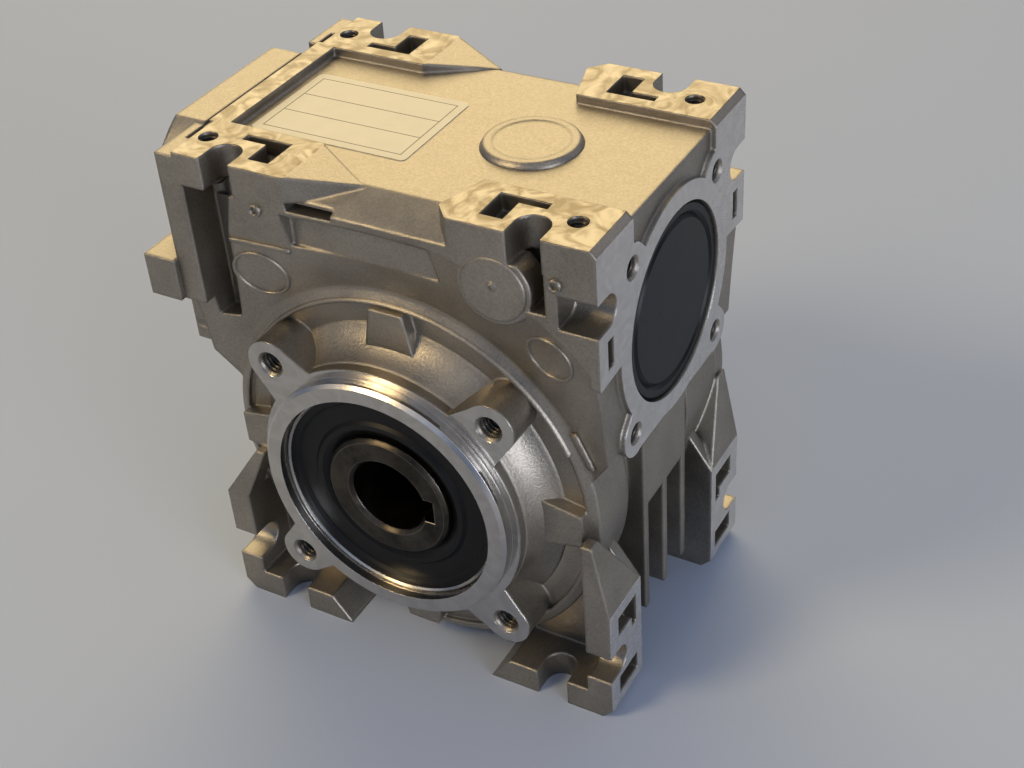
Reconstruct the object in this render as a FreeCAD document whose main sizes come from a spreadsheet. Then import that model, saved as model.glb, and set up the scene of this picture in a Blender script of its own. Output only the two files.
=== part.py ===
"""Worm gear reducer with a hollow output shaft.

The origin is the middle of the output bore. Y is the output axis with the
cast-in flange at -Y, X is along the worm with its closing cap at +X, Z is up.
All sizes are millimetres.
"""
import FreeCAD, Part
import Sketcher
import math
import os
import re

Vector = FreeCAD.Vector
X_AXIS = Vector(1, 0, 0)
Y_AXIS = Vector(0, 1, 0)
Z_AXIS = Vector(0, 0, 1)

# Driving dimensions: name, value
SIZES = (
    # Gear set
    ("gear_module", 2.0),
    ("wheel_teeth", 30),
    ("worm_starts", 2),
    ("worm_pitch_diameter", 20.0),
    ("pressure_angle", 20.0),
    ("flank_play", 0.12),
    ("root_clearance", 0.4),
    ("wheel_width", 18.0),
    ("wheel_edge", 1.0),
    ("wheel_running_gap", 1.67),
    ("thread_length", 36.0),
    ("thread_embed", 0.6),
    # Hollow output shaft
    ("output_bore", 18.0),
    ("output_journal", 30.0),
    ("hub_diameter", 44.0),
    ("shoulder_diameter", 36.0),
    ("shoulder_width", 4.0),
    ("output_key_width", 6.0),
    ("output_key_rise", 2.8),
    ("shaft_recess", 2.0),
    ("edge_chamfer", 0.8),
    # Output bearings and seals
    ("output_bearing_outer", 55.0),
    ("output_bearing_width", 13.0),
    ("output_ball", 7.0),
    ("output_ball_count", 11),
    ("output_seal_outer", 52.0),
    ("seal_width", 7.0),
    ("seal_gap", 5.0),
    ("seal_recess", 3.0),
    ("seal_wall", 2.4),
    ("seal_web", 2.2),
    ("lip_play", 0.05),
    # Seal profile: heights as shares of the room between shaft and shell
    ("seal_taper", 0.06),
    ("dust_lip_outer", 0.35),
    ("dust_lip_crest", 0.28),
    ("dust_lip_inner", 0.18),
    ("lip_waist", 0.12),
    ("lip_tip", 0.08),
    ("lip_root", 0.3),
    ("lip_back", 0.34),
    # Seal profile: places along it as shares of the web and of the width
    ("face_dip", 0.3),
    ("dust_lip_set", 0.5),
    ("lip_edge_set", 0.4),
    ("lip_tip_set", 0.25),
    # Worm shaft, its bearings and closures
    ("worm_journal", 20.0),
    ("worm_shoulder", 24.0),
    ("worm_shoulder_width", 3.0),
    ("worm_bearing_outer", 42.0),
    ("worm_bearing_width", 12.0),
    ("worm_ball", 6.35),
    ("worm_ball_count", 9),
    ("journal_overhang", 0.6),
    ("input_bore", 11.0),
    ("input_bore_depth", 27.0),
    ("input_key_width", 4.0),
    ("input_key_rise", 1.8),
    ("input_reach", 4.0),
    ("end_recess", 9.0),
    ("circlip_width", 1.75),
    ("circlip_depth", 1.25),
    ("circlip_radial", 4.0),
    ("circlip_gap_width", 14.0),
    ("circlip_play", 0.05),
    ("cap_width", 6.0),
    ("cap_recess", 0.6),
    ("cap_skin", 2.5),
    ("cap_rim", 3.0),
    ("cap_groove", 0.8),
    ("tunnel_clearance", 5.0),
    # Ball bearing details shared by all four bearings
    ("ball_play", 0.05),
    ("pocket_play", 0.08),
    ("land_share", 0.3),
    ("cage_share", 0.15),
    ("cage_margin", 1.1),
    # Wheel chamber
    ("chamber_clearance", 2.5),
    ("chamber_wall", 7.5),
    ("rim_wall", 10.0),
    ("rim_start", 15.0),
    ("boss_wall", 6.0),
    ("boss_overhang", 0.5),
    ("boss_relief", 10.0),
    ("boss_gap", 1.8),
    ("bead_rise", 1.1),
    ("bead_slope", 2.0),
    ("bead_width", 2.6),
    ("ring_draft", 0.8),
    ("flange_land", 2.3),
    ("spigot_diameter", 60.0),
    ("spigot_height", 3.2),
    ("spigot_chamfer", 0.8),
    ("flange_ring", 63.6),
    ("output_bolt_circle", 75.0),
    ("output_bolt_hole", 5.0),
    ("output_bolt_mouth", 6.4),
    ("output_bolt_depth", 14.0),
    ("output_lug_radius", 5.7),
    ("output_lug_root", 7.4),
    ("dome_rib_root", 12.4),
    ("dome_rib_width", 7.9),
    ("dome_rib_rise", 0.3),
    # Worm block
    ("block_drop", 31.0),
    ("block_corner_width", 6.5),
    ("block_corner_height", 10.0),
    ("face_step", 1.2),
    ("wall_inset", 3.2),
    ("dish_depth", 3.0),
    ("dish_gap", 0.6),
    ("dish_radius", 65.0),
    ("top_wall", 10.4),
    ("top_skin_drop", 2.2),
    ("top_slope_width", 7.7),
    ("top_slope_drop", 4.2),
    ("top_boss_offset", 18.5),
    ("top_boss_diameter", 20.0),
    ("top_boss_rise", 1.0),
    ("top_boss_rim", 1.2),
    ("rail_width", 4.8),
    ("rail_setback", 3.4),
    ("panel_left", 20.5),
    ("panel_right", 14.0),
    ("panel_low", 15.2),
    ("panel_height", 8.8),
    ("panel_inset", 3.6),
    ("gate_offset", 27.9),
    ("gate_drop", 13.6),
    ("gate_radius", 8.0),
    ("gate_inset", 0.3),
    # Round faces at the two ends of the worm tunnel
    ("end_ring_radius", 25.3),
    ("end_bolt_circle", 55.8),
    ("end_bolt_hole", 4.2),
    ("end_bolt_mouth", 5.3),
    ("end_bolt_depth", 12.0),
    ("end_lug_radius", 5.1),
    ("end_skirt", 24.5),
    # Mounting pads at the top corners and feet at the bottom corners
    ("pad_setback", 3.6),
    ("pad_length", 31.3),
    ("pad_width", 15.2),
    ("pad_thickness", 7.4),
    ("pad_left_trim", 4.5),
    ("pad_nose", 3.4),
    ("pad_nose_set", 3.7),
    ("pad_bevel", 1.4),
    ("gusset_length", 15.0),
    ("gusset_set", 7.0),
    ("gusset_drop", 2.2),
    ("gusset_lip", 3.6),
    ("slit_length", 11.0),
    ("slit_height", 1.8),
    ("slit_depth", 5.0),
    ("pad_hole", 4.2),
    ("pad_hole_end", 7.7),
    ("pad_hole_side", 8.3),
    ("pad_hole_depth", 14.0),
    ("slot_end", 15.0),
    ("slot_width", 7.5),
    ("slot_depth", 7.7),
    ("pocket_near", 3.7),
    ("pocket_end", 15.0),
    ("pocket_start", 26.0),
    ("pocket_bar", 5.0),
    ("pocket_inner", 12.2),
    ("pocket_width", 2.2),
    ("pocket_depth", 4.0),
    ("post_width", 5.6),
    ("post_depth", 7.5),
    ("post_drop", 36.4),
    ("channel_width", 12.0),
    ("channel_foot", 4.8),
    ("channel_drop", 41.4),
    ("channel_depth", 9.2),
    ("cheek_width", 11.0),
    ("cheek_drop", 16.6),
    ("side_slot_drop", 15.2),
    ("side_slot_length", 8.5),
    ("strip_drop", 31.0),
    ("strip_width", 13.5),
    ("strip_notch", 6.1),
    ("end_face_depth", 4.0),
    ("strip_pocket_side", 3.4),
    ("strip_pocket_width", 2.5),
    ("strip_pocket_low", 28.1),
    ("strip_pocket_height", 6.7),
    ("strip_pocket_depth", 2.5),
    ("foot_clearance", 4.5),
    ("foot_length", 25.8),
    ("foot_width", 15.0),
    ("foot_thickness", 6.6),
    ("foot_toe", 5.0),
    ("foot_plate", 6.0),
    ("foot_plate_height", 30.5),
    ("foot_slot_height", 14.8),
    ("foot_brace_rise", 18.5),
    ("foot_brace_lean", 3.7),
    ("left_brace_rise", 15.5),
    ("left_brace_lean", 11.0),
    ("foot_brace_thickness", 2.5),
    ("foot_brace_reach", 9.0),
    ("foot_brace_lip", 6.0),
    ("foot_brace_top", 3.2),
    ("foot_back_web", 3.0),
    ("foot_bevel", 2.5),
    ("plate_pocket_side", 3.9),
    ("plate_pocket_inner", 12.6),
    ("plate_pocket_depth", 3.5),
    ("plate_pocket_leg", 2.4),
    ("upper_pocket_top", 27.6),
    ("upper_pocket_low", 22.2),
    ("upper_pocket_leg_low", 19.4),
    ("lower_pocket_top", 9.8),
    ("lower_pocket_low", 4.8),
    # Cooling fins below the worm ends
    ("fin_reach", 3.0),
    ("fin_pitch", 9.6),
    ("fin_thickness", 1.8),
    ("fin_low", 38.0),
    ("fin_web_low", 8.0),
    # Rear cover and its fixings
    ("cover_thickness", 4.0),
    ("cover_land", 8.0),
    ("cover_clearance", 0.5),
    ("cover_bolt_hole", 6.0),
    ("cover_bolt_mouth", 6.8),
    ("cover_bolt_depth", 6.4),
    ("cover_pilot", 6.0),
    ("pilot_play", 0.05),
    ("ring_section", 1.7),
    ("ring_play", 0.05),
    ("ring_room", 0.3),
    ("ring_edge", 2.0),
    ("cover_screw_count", 8),
    ("cover_screw_circle", 84.0),
    ("cover_screw", 4.0),
    ("cover_screw_length", 12.0),
    ("cover_screw_head", 7.0),
    ("cover_screw_head_height", 4.0),
    ("cover_screw_socket", 3.0),
    # Input flange and its fixings
    ("input_flange_radius", 34.0),
    ("input_flange_thickness", 8.0),
    ("input_flange_flat", 29.2),
    ("input_flange_side", 24.5),
    ("input_flange_bore", 27.0),
    ("input_pilot", 44.0),
    ("input_pilot_depth", 3.0),
    ("ear_reach", 35.5),
    ("ear_height", 10.0),
    ("ear_hole", 5.0),
    ("ear_hole_inset", 5.0),
    ("flange_screw", 5.0),
    ("flange_screw_length", 12.0),
    ("flange_screw_head", 8.5),
    ("flange_screw_head_height", 5.0),
    ("flange_screw_socket", 4.0),
    ("head_play", 0.4),
    ("head_sink", 0.5),
    ("socket_depth_share", 0.55),
    # Cuts run this far past the faces that they open
    ("overrun", 1.0),
)

# Values worked out from the driving dimensions
DERIVED = {
    "wheel_pitch": "wheel_teeth * gear_module / 2",
    "centre_distance": "worm_pitch_diameter / 2 + wheel_pitch",
    "worm_tip": "worm_pitch_diameter / 2 + gear_module",
    "worm_root": "worm_pitch_diameter / 2 - gear_module - root_clearance",
    "wheel_tip": "wheel_pitch + gear_module",
    "wheel_outer": "wheel_tip + wheel_edge",
    "output_seat": "wheel_width / 2 + shoulder_width",
    "output_seat_end": "output_seat + output_bearing_width",
    "seal_inner": "output_seat_end + seal_gap",
    "seal_outer": "seal_inner + seal_width",
    "spigot_face": "seal_outer + seal_recess",
    "shaft_end": "spigot_face - shaft_recess",
    "lug_face": "spigot_face - spigot_height",
    "pad_side": "lug_face - pad_setback",
    "wall_side": "pad_side - wall_inset",
    "dish_floor": "wall_side - dish_depth",
    "bearing_reach": "wheel_outer + wheel_running_gap",
    "bearing_floor": "centre_distance - worm_bearing_outer / 2",
    "worm_seat": "sqrt(bearing_reach * bearing_reach - bearing_floor * bearing_floor)",
    "worm_seat_end": "worm_seat + worm_bearing_width",
    "case_end": "worm_seat_end + end_recess",
    "cast_end": "case_end - face_step",
    "boss": "output_bearing_outer / 2 + boss_wall",
    "chamber": "max(wheel_outer + chamber_clearance; boss + boss_gap)",
    "chamber_outer": "chamber + chamber_wall",
    "rim": "chamber + rim_wall",
    "tunnel": "worm_tip + tunnel_clearance",
    "pad_top": "centre_distance + worm_bearing_outer / 2 + top_wall",
    "skin_top": "pad_top - top_skin_drop",
    "pad_under": "pad_top - pad_thickness",
    "block_floor": "centre_distance - block_drop",
    "foot_plane": "-(rim + foot_clearance)",
    "foot_top": "foot_plane + foot_thickness",
    "pad_inner": "pad_side - pad_width",
    "pad_start": "case_end - pad_length",
    "slot_centre": "case_end - slot_end",
    "slot_root": "pad_side - slot_depth + slot_width / 2",
    "lug_offset": "output_bolt_circle / 2 * sqrt(0.5)",
    "lug_root_reach": "(output_seal_outer + flange_ring) / 4",
    "end_offset": "end_bolt_circle / 2 * sqrt(0.5)",
    "boss_end": "output_seat - boss_overhang",
    "cover_face": "wall_side + cover_thickness",
    "groove_floor": "chamber - pilot_play - ring_section - ring_play",
    "circlip_start": "worm_seat_end + circlip_play",
    "circlip_end": "circlip_start + circlip_width",
    "cap_outer": "case_end - cap_recess",
    "input_end": "case_end + input_reach",
    "flange_face": "case_end + input_flange_thickness",
    "fin_end": "case_end - fin_reach",
}

doc = FreeCAD.newDocument("worm_gear_reducer")
dims = doc.addObject("Spreadsheet::Sheet", "Dims")
for row, (size_name, size_value) in enumerate(SIZES, 1):
    dims.set(f"A{row}", size_name)
    dims.set(f"B{row}", str(size_value))
    dims.setAlias(f"B{row}", size_name)
doc.recompute()
ALIASES = {size_name for size_name, size_value in SIZES}


def formula(text):
    """The text with each size as a reference to its cell."""
    def swap(match):
        word = match.group(0)
        if word in DERIVED:
            return "(" + formula(DERIVED[word]) + ")"
        if word in ALIASES:
            return "Dims." + word
        return word
    return re.sub(r"[a-z_][a-z_0-9]*", swap, str(text))


def bind(thing, prop, text):
    thing.setExpression(prop, formula(text))


def value(text):
    return float(dims.evalExpression(formula(text)))


def span(sign, near, far):
    """A range from near to far, or its mirror image."""
    if sign > 0:
        return near, far
    return f"-({far})", f"-({near})"


# Turns that stand a shape made along Z on another axis
ALONG = {
    "X": FreeCAD.Rotation(Y_AXIS, 90),
    "Y": FreeCAD.Rotation(X_AXIS, -90),
    "Z": FreeCAD.Rotation(),
}


def place(thing, rotation, base):
    """Puts a thing at base, three formulas, with a fixed rotation."""
    thing.Placement = FreeCAD.Placement(Vector(), rotation)
    for axis, text in zip("xyz", base):
        bind(thing, f"Placement.Base.{axis}", text)
    return thing


def block(name, x, y, z):
    """A box between two faces on each axis."""
    made = doc.addObject("Part::Box", name)
    for prop, (low, high) in zip(("Length", "Width", "Height"), (x, y, z)):
        bind(made, prop, f"({high}) - ({low})")
    return place(made, ALONG["Z"], (x[0], y[0], z[0]))


def on_axis(axis, along, across):
    """A point given by its place along an axis and the two other coordinates."""
    point = list(across)
    point.insert("XYZ".index(axis), along)
    return point


def rod(name, axis, radius, ends, across=("0", "0")):
    """A cylinder along an axis from one end to the other."""
    made = doc.addObject("Part::Cylinder", name)
    bind(made, "Radius", radius)
    bind(made, "Height", f"({ends[1]}) - ({ends[0]})")
    return place(made, ALONG[axis], on_axis(axis, ends[0], across))


def taper(name, axis, first, last, ends, across=("0", "0")):
    """A cone along an axis, first and last being its radii."""
    made = doc.addObject("Part::Cone", name)
    bind(made, "Radius1", first)
    bind(made, "Radius2", last)
    bind(made, "Height", f"({ends[1]}) - ({ends[0]})")
    return place(made, ALONG[axis], on_axis(axis, ends[0], across))


def fuse(name, shapes):
    made = doc.addObject("Part::MultiFuse", name)
    made.Shapes = shapes
    return made


def cut(name, base, tools):
    made = doc.addObject("Part::Cut", name)
    made.Base = base
    made.Tool = tools[0] if len(tools) == 1 else fuse(name + "_tools", tools)
    return made


def common(name, first, second):
    made = doc.addObject("Part::Common", name)
    made.Base = first
    made.Tool = second
    return made


def group(name, shapes):
    """Separate solids of one kind in one piece."""
    made = doc.addObject("Part::Compound", name)
    made.Links = shapes
    return made


def draw(sketch, points):
    """A closed outline whose corners are bound to formulas."""
    corners = [Vector(value(u), value(v), 0) for u, v in points]
    count = len(corners)
    for i, corner in enumerate(corners):
        sketch.addGeometry(Part.LineSegment(corner, corners[(i + 1) % count]))
    for i in range(count):
        sketch.addConstraint(Sketcher.Constraint("Coincident", i, 2, (i + 1) % count, 1))
    for i, corner in enumerate(corners):
        for kind, number, text in zip(("DistanceX", "DistanceY"), corner, points[i]):
            index = sketch.addConstraint(Sketcher.Constraint(kind, -1, 1, i, 1, number))
            sketch.setExpression(f"Constraints[{index}]", formula(text))


# For each drawing plane: its turn and the direction of an extrusion from it
PLANES = {
    "XZ": (FreeCAD.Rotation(X_AXIS, 90), Y_AXIS),
    "YZ": (FreeCAD.Rotation(Y_AXIS, Z_AXIS, X_AXIS, "XYZ"), X_AXIS),
    "XY": (FreeCAD.Rotation(), Z_AXIS),
}


def prism(name, plane, points, ends):
    """An outline on a plane extruded between two places along its normal."""
    turn, direction = PLANES[plane]
    sketch = doc.addObject("Sketcher::SketchObject", name + "_outline")
    draw(sketch, points)
    base = ["0", "0", "0"]
    base["XYZ".index(({"X", "Y", "Z"} - set(plane)).pop())] = ends[0]
    place(sketch, turn, base)
    made = doc.addObject("Part::Extrusion", name)
    made.Base = sketch
    made.DirMode = "Custom"
    made.Dir = direction
    made.Solid = True
    bind(made, "LengthFwd", f"({ends[1]}) - ({ends[0]})")
    return made


def lathe(name, axis, points):
    """A turned body. Points are (along the axis, radius); X bodies turn on the worm axis."""
    body = doc.addObject("PartDesign::Body", name)
    sketch = body.newObject("Sketcher::SketchObject", name + "_profile")
    role = "XY_Plane" if axis == "Y" else "XZ_Plane"
    plane = [item for item in body.Origin.OriginFeatures if item.Role == role][0]
    sketch.AttachmentSupport = [(plane, "")]
    sketch.MapMode = "FlatFace"
    if axis == "Y":
        points = [(radius, along) for along, radius in points]
    draw(sketch, points)
    turned = body.newObject("PartDesign::Revolution", name + "_turned")
    turned.Profile = sketch
    turned.ReferenceAxis = (sketch, ["V_Axis" if axis == "Y" else "H_Axis"])
    turned.Angle = 360
    if axis == "X":
        bind(body, "Placement.Base.z", "centre_distance")
    return body


def across_axis(axis):
    """Where the output axis and the worm axis lie, across their own direction."""
    return ("0", "0") if axis == "Y" else ("0", "centre_distance")


def polar(axis, radius, angle):
    """The two coordinates across an axis of a point at a radius and an angle."""
    first, second = across_axis(axis)
    return f"{first} + {radius} * cos({angle})", f"{second} + {radius} * sin({angle})"


pieces = []


def keep(thing, label):
    """Marks a finished piece and gives it its label."""
    thing.Label = label
    pieces.append(thing)
    return thing


def ball_bearing(name, axis, sign, seat, bore, outer, width, ball, count):
    """A deep groove ball bearing as its two rings, its ball set and its cage."""
    across = across_axis(axis)
    ends = span(sign, seat, f"{seat} + {width}")
    middle = f"({ends[0]} + {ends[1]}) / 2"
    pitch = f"({bore} + {outer}) / 4"
    groove = doc.addObject("Part::Torus", name + "_groove")
    bind(groove, "Radius1", pitch)
    bind(groove, "Radius2", f"{ball} / 2 + ball_play")
    place(groove, ALONG[axis], on_axis(axis, middle, across))
    lands = {
        "outer_ring": (f"{pitch} + {ball} * land_share", f"{outer} / 2"),
        "inner_ring": (f"{bore} / 2", f"{pitch} - {ball} * land_share"),
    }
    for ring, (inside, outside) in lands.items():
        solid = rod(f"{name}_{ring}_blank", axis, outside, ends, across)
        hole = rod(f"{name}_{ring}_hole", axis, inside, ends, across)
        keep(cut(f"{name}_{ring}", solid, [hole, groove]), f"{name}_{ring}")
    half = f"({ball} / 2 + cage_margin)"
    cage_ends = (f"{middle} - {half}", f"{middle} + {half}")
    cage_outer = rod(f"{name}_cage_blank", axis, f"{pitch} + {ball} * cage_share", cage_ends, across)
    cage_inner = rod(f"{name}_cage_hole", axis, f"{pitch} - {ball} * cage_share", cage_ends, across)
    balls = []
    pockets = []
    number = int(value(count))
    for i in range(number):
        point = on_axis(axis, middle, polar(axis, f"({pitch})", 360 * i / number))
        for made, radius in ((balls, f"{ball} / 2"), (pockets, f"{ball} / 2 + pocket_play")):
            sphere = doc.addObject("Part::Sphere", f"{name}_ball_{i}")
            bind(sphere, "Radius", radius)
            made.append(place(sphere, ALONG["Z"], point))
    keep(cut(f"{name}_cage", cage_outer, [cage_inner] + pockets), f"{name}_cage")
    keep(group(f"{name}_balls", balls), f"{name}_balls")


def cap_screw(name, axis, sign, seat, size, across):
    """A socket head screw whose head rests on the seat and whose shank runs inwards."""
    shank = rod(name + "_shank", axis, f"{size} / 2", span(sign, f"{seat} - {size}_length", seat), across)
    top = f"{seat} + {size}_head_height"
    head = rod(name + "_head", axis, f"{size}_head / 2", span(sign, seat, top), across)
    socket = doc.addObject("Part::Prism", name + "_socket")
    socket.Polygon = 6
    bind(socket, "Circumradius", f"{size}_socket / sqrt(3)")
    depth = span(sign, f"{top} - {size}_head_height * socket_depth_share", f"{top} + overrun")
    bind(socket, "Height", f"({depth[1]}) - ({depth[0]})")
    place(socket, ALONG[axis], on_axis(axis, depth[0], across))
    return cut(name, fuse(name + "_blank", [shank, head]), [socket])


def threaded_hole(name, axis, sign, face, hole, across):
    """A blind hole with a countersunk mouth."""
    ends = span(sign, f"{face} - {hole}_depth", f"{face} + overrun")
    bore = rod(name, axis, f"{hole}_hole / 2", ends, across)
    flare = f"({hole}_mouth - {hole}_hole) / 2"
    radii = (f"{hole}_hole / 2", f"{hole}_mouth / 2")
    first, last = radii if sign > 0 else radii[::-1]
    mouth = taper(name + "_mouth", axis, first, last, span(sign, f"{face} - {flare}", face), across)
    return [bore, mouth]


def output_lugs(name, sign, root):
    """The four bolt lugs of an output flange, run back to the dome."""
    made = []
    ends = span(sign, root, "lug_face")
    for i, (sx, sz) in enumerate(CORNERS):
        across = (f"{sx} * lug_offset", f"{sz} * lug_offset")
        made.append(rod(f"{name}_{i}", "Y", "output_lug_radius", ends, across))
        points = []
        for reach, half in (("lug_root_reach", "output_lug_root"),
                            ("lug_root_reach", "-output_lug_root"),
                            ("output_bolt_circle / 2", "-output_lug_radius"),
                            ("output_bolt_circle / 2", "output_lug_radius")):
            points.append((f"{sx} * ({reach} + ({half})) * sqrt(0.5)",
                           f"{sz} * ({reach} - ({half})) * sqrt(0.5)"))
        made.append(prism(f"{name}_web_{i}", "XZ", points, ends))
    return made


CORNERS = ((1, 1), (-1, 1), (-1, -1), (1, -1))


def worm_block():
    """The upper box round the worm tunnel: sloped top edges, cut lower corners and dished sides."""
    side = "pad_side"
    slope = "pad_side - top_slope_width"
    low = "skin_top - top_slope_drop"
    section = [(f"-({side})", "block_floor"), (side, "block_floor"), (side, low), (slope, "skin_top"),
               (f"-({slope})", "skin_top"), (f"-({side})", low)]
    along = prism("worm_block_section", "YZ", section, ("-(cast_end)", "cast_end"))
    inner = "cast_end - block_corner_width"
    shoulder = "block_floor + block_corner_height"
    front = [(f"-({inner})", "block_floor"), (inner, "block_floor"), ("cast_end", shoulder),
             ("cast_end", "skin_top"), ("-(cast_end)", "skin_top"), ("-(cast_end)", shoulder)]
    face = prism("worm_block_front", "XZ", front, (f"-({side})", side))
    past = "pad_side + overrun"
    dish = [("dish_floor", "0"), ("dish_floor", "rim + dish_gap"), (side, "dish_radius"),
            (past, "dish_radius"), (past, "0")]
    tools = []
    for sign in (1, -1):
        points = [(f"{sign} * ({along_y})", radius) for along_y, radius in dish]
        tools.append(lathe(f"side_dish_{sign}", "Y", points))
    return cut("worm_block", common("worm_block_shell", along, face), tools + nut_recesses())


def nut_recesses():
    """Room for the nuts below the slotted pads, with a deep channel beside each left post."""
    made = []
    for sx, sy in CORNERS:
        tag = f"{sx}_{sy}"
        post = "cheek_width" if sx > 0 else "post_width"
        depth = "slot_depth" if sx > 0 else "channel_depth"
        deep = span(sy, f"pad_side - {depth}", "pad_side + overrun")
        if sx > 0:
            wide = span(sx, "slot_centre - slot_width / 2", f"case_end - {post}")
            made.append(block("recess_" + tag, wide, deep, ("pad_top - cheek_drop", "pad_under")))
        else:
            side, low = f"case_end - {post}", "pad_top - channel_drop"
            hollow = [(f"{sx} * ({side})", "pad_under"), (f"{sx} * ({side} - channel_width)", "pad_under"),
                      (f"{sx} * ({side} - channel_foot)", low), (f"{sx} * ({side})", low)]
            made.append(prism("channel_" + tag, "XZ", hollow, deep))
            lip = "pad_top - gusset_drop - gusset_lip"
            made.append(block("gusset_slit_" + tag, ("-(pad_start)", "slit_length - pad_start"),
                              span(sy, "pad_side - slit_depth", "pad_side + overrun"),
                              (f"{lip} - slit_height", lip)))
    return made


def wheel_chamber():
    """The round body about the output axis with the front dome, bolt face and spigot."""
    points = [
        ("wall_side", "output_seal_outer / 2 - overrun"), ("wall_side", "rim"), ("rim_start", "rim"),
        ("rim_start", "chamber_outer"), ("-rim_start", "chamber_outer"), ("-rim_start", "rim"),
        ("-(dish_floor)", "rim"), ("-(dish_floor + bead_rise)", "rim - bead_slope"),
        ("-(dish_floor + bead_rise)", "rim - bead_width"), ("-(dish_floor)", "rim - bead_width"),
        ("-(dish_floor)", "flange_ring / 2 + ring_draft"),
        ("-(lug_face - flange_land)", "flange_ring / 2"), ("-(lug_face)", "flange_ring / 2"),
        ("-(lug_face)", "spigot_diameter / 2"), ("-(spigot_face - spigot_chamfer)", "spigot_diameter / 2"),
        ("-(spigot_face)", "spigot_diameter / 2 - spigot_chamfer"),
        ("-(spigot_face)", "output_seal_outer / 2 - overrun"),
    ]
    return lathe("wheel_chamber", "Y", points)


def dome_ribs():
    """Four block ribs on the front dome, between the lugs, narrower towards the rim."""
    low = "flange_ring / 2 - overrun"
    high = "rim - bead_width"
    ends = span(-1, "dish_floor - overrun", "wall_side + dome_rib_rise")
    ribs = []
    for sign in (1, -1):
        outline = [(low, "-dome_rib_root / 2"), (high, "-dome_rib_width / 2"), (high, "dome_rib_width / 2"),
                   (low, "dome_rib_root / 2")]
        points = [(f"{sign} * ({reach})", half) for reach, half in outline]
        ribs.append(prism(f"dome_rib_x{sign}", "XZ", points, ends))
        ribs.append(prism(f"dome_rib_z{sign}", "XZ", [(half, reach) for reach, half in points], ends))
    return ribs


def end_faces():
    """The machined round faces with four lugs at both ends of the worm tunnel."""
    made = []
    for sign in (1, -1):
        ends = span(sign, "cast_end - end_face_depth", "case_end")
        across = across_axis("X")
        made.append(rod(f"end_ring_{sign}", "X", "end_ring_radius", ends, across))
        skirt = ("centre_distance - end_skirt", "centre_distance")
        made.append(block(f"end_skirt_{sign}", ends, ("-end_offset", "end_offset"), skirt))
        for i, (sy, sz) in enumerate(CORNERS):
            point = (f"{sy} * end_offset", f"centre_distance + {sz} * end_offset")
            made.append(rod(f"end_lug_{sign}_{i}", "X", "end_lug_radius", ends, point))
            web = []
            for reach, half in (("0", "end_lug_radius"), ("0", "-end_lug_radius"),
                                ("end_bolt_circle / 2", "-end_lug_radius"),
                                ("end_bolt_circle / 2", "end_lug_radius")):
                web.append((f"{sy} * ({reach} + ({half})) * sqrt(0.5)",
                            f"centre_distance + {sz} * ({reach} - ({half})) * sqrt(0.5)"))
            made.append(prism(f"end_web_{sign}_{i}", "YZ", web, ends))
    return made


def gusset(tag, sy):
    """A thin sloped web from the inner end of a left pad to the top edge of the casting."""
    start = "-(pad_start + overrun)"
    tip = "gusset_length - pad_start"
    low = "pad_top - gusset_drop - gusset_lip"
    slope = [(start, low), (tip, low), (tip, "skin_top"), ("-(pad_start)", "pad_top"), (start, "pad_top")]
    plan = [(start, f"{sy} * pad_inner"), ("-(pad_start)", f"{sy} * pad_inner"),
            (tip, f"{sy} * (pad_side - gusset_set)"), ("-(pad_start)", f"{sy} * pad_side"),
            (start, f"{sy} * pad_side")]
    upright = prism("gusset_slope_" + tag, "XZ", slope, span(sy, "pad_inner", "pad_side"))
    return common("gusset_" + tag, upright, prism("gusset_plan_" + tag, "XY", plan, (low, "pad_top")))


def top_corners():
    """Top pads with the posts and cheeks below them, and the strips on the end faces."""
    made = []
    for sx, sy in CORNERS:
        tag = f"{sx}_{sy}"
        edge = span(sy, "pad_side - post_depth", "pad_side")
        levels = ("pad_under", "pad_top")
        if sx > 0:
            plan = [("case_end", "pad_inner"), ("pad_start", "pad_inner"),
                    ("pad_start - pad_nose", "pad_side - pad_nose_set"), ("pad_start", "pad_side"),
                    ("case_end", "pad_side")]
            points = [(along, f"{sy} * ({across})") for along, across in plan]
            made.append(prism("pad_" + tag, "XY", points, levels))
        else:
            reach = span(sx, "pad_start", "case_end - pad_left_trim")
            made.append(block("pad_" + tag, reach, span(sy, "pad_inner", "pad_side"), levels))
            made.append(gusset(tag, sy))
        post = "cheek_width" if sx > 0 else "post_width"
        drop = "cheek_drop" if sx > 0 else "post_drop"
        top = "pad_top - overrun"
        made.append(block("post_" + tag, span(sx, f"case_end - {post}", "case_end"), edge,
                          (f"pad_top - {drop}", top)))
        strip = [("pad_side", "pad_top - strip_drop"),
                 ("end_ring_radius - overrun", "centre_distance + overrun"),
                 ("end_offset", "centre_distance + end_offset"),
                 ("pad_side - strip_width", "pad_top - strip_notch"),
                 ("pad_side - strip_width", top), ("pad_side", top)]
        outline = [(f"{sy} * ({across})", height) for across, height in strip]
        made.append(prism("strip_" + tag, "YZ", outline, span(sx, "cast_end - overrun", "case_end")))
    rail = ("-(case_end - rail_setback)", "-(case_end - rail_setback - rail_width)")
    across = ("-(pad_inner + overrun)", "pad_inner + overrun")
    made.append(block("rail", rail, across, ("pad_under", "pad_top")))
    boss = ("skin_top - overrun", "skin_top + top_boss_rise")
    made.append(rod("top_boss", "Z", "top_boss_diameter / 2", boss, ("top_boss_offset", "0")))
    gate = span(-1, "dish_floor", "pad_side - gate_inset")
    disc = rod("gate_round", "Y", "gate_radius", gate, ("gate_offset", "pad_top - gate_drop"))
    above = block("gate_top", ("gate_offset - gate_radius", "gate_offset + gate_radius"), gate,
                  ("pad_under", "pad_top"))
    made.append(cut("gate_disc", disc, [above]))
    return made


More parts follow.
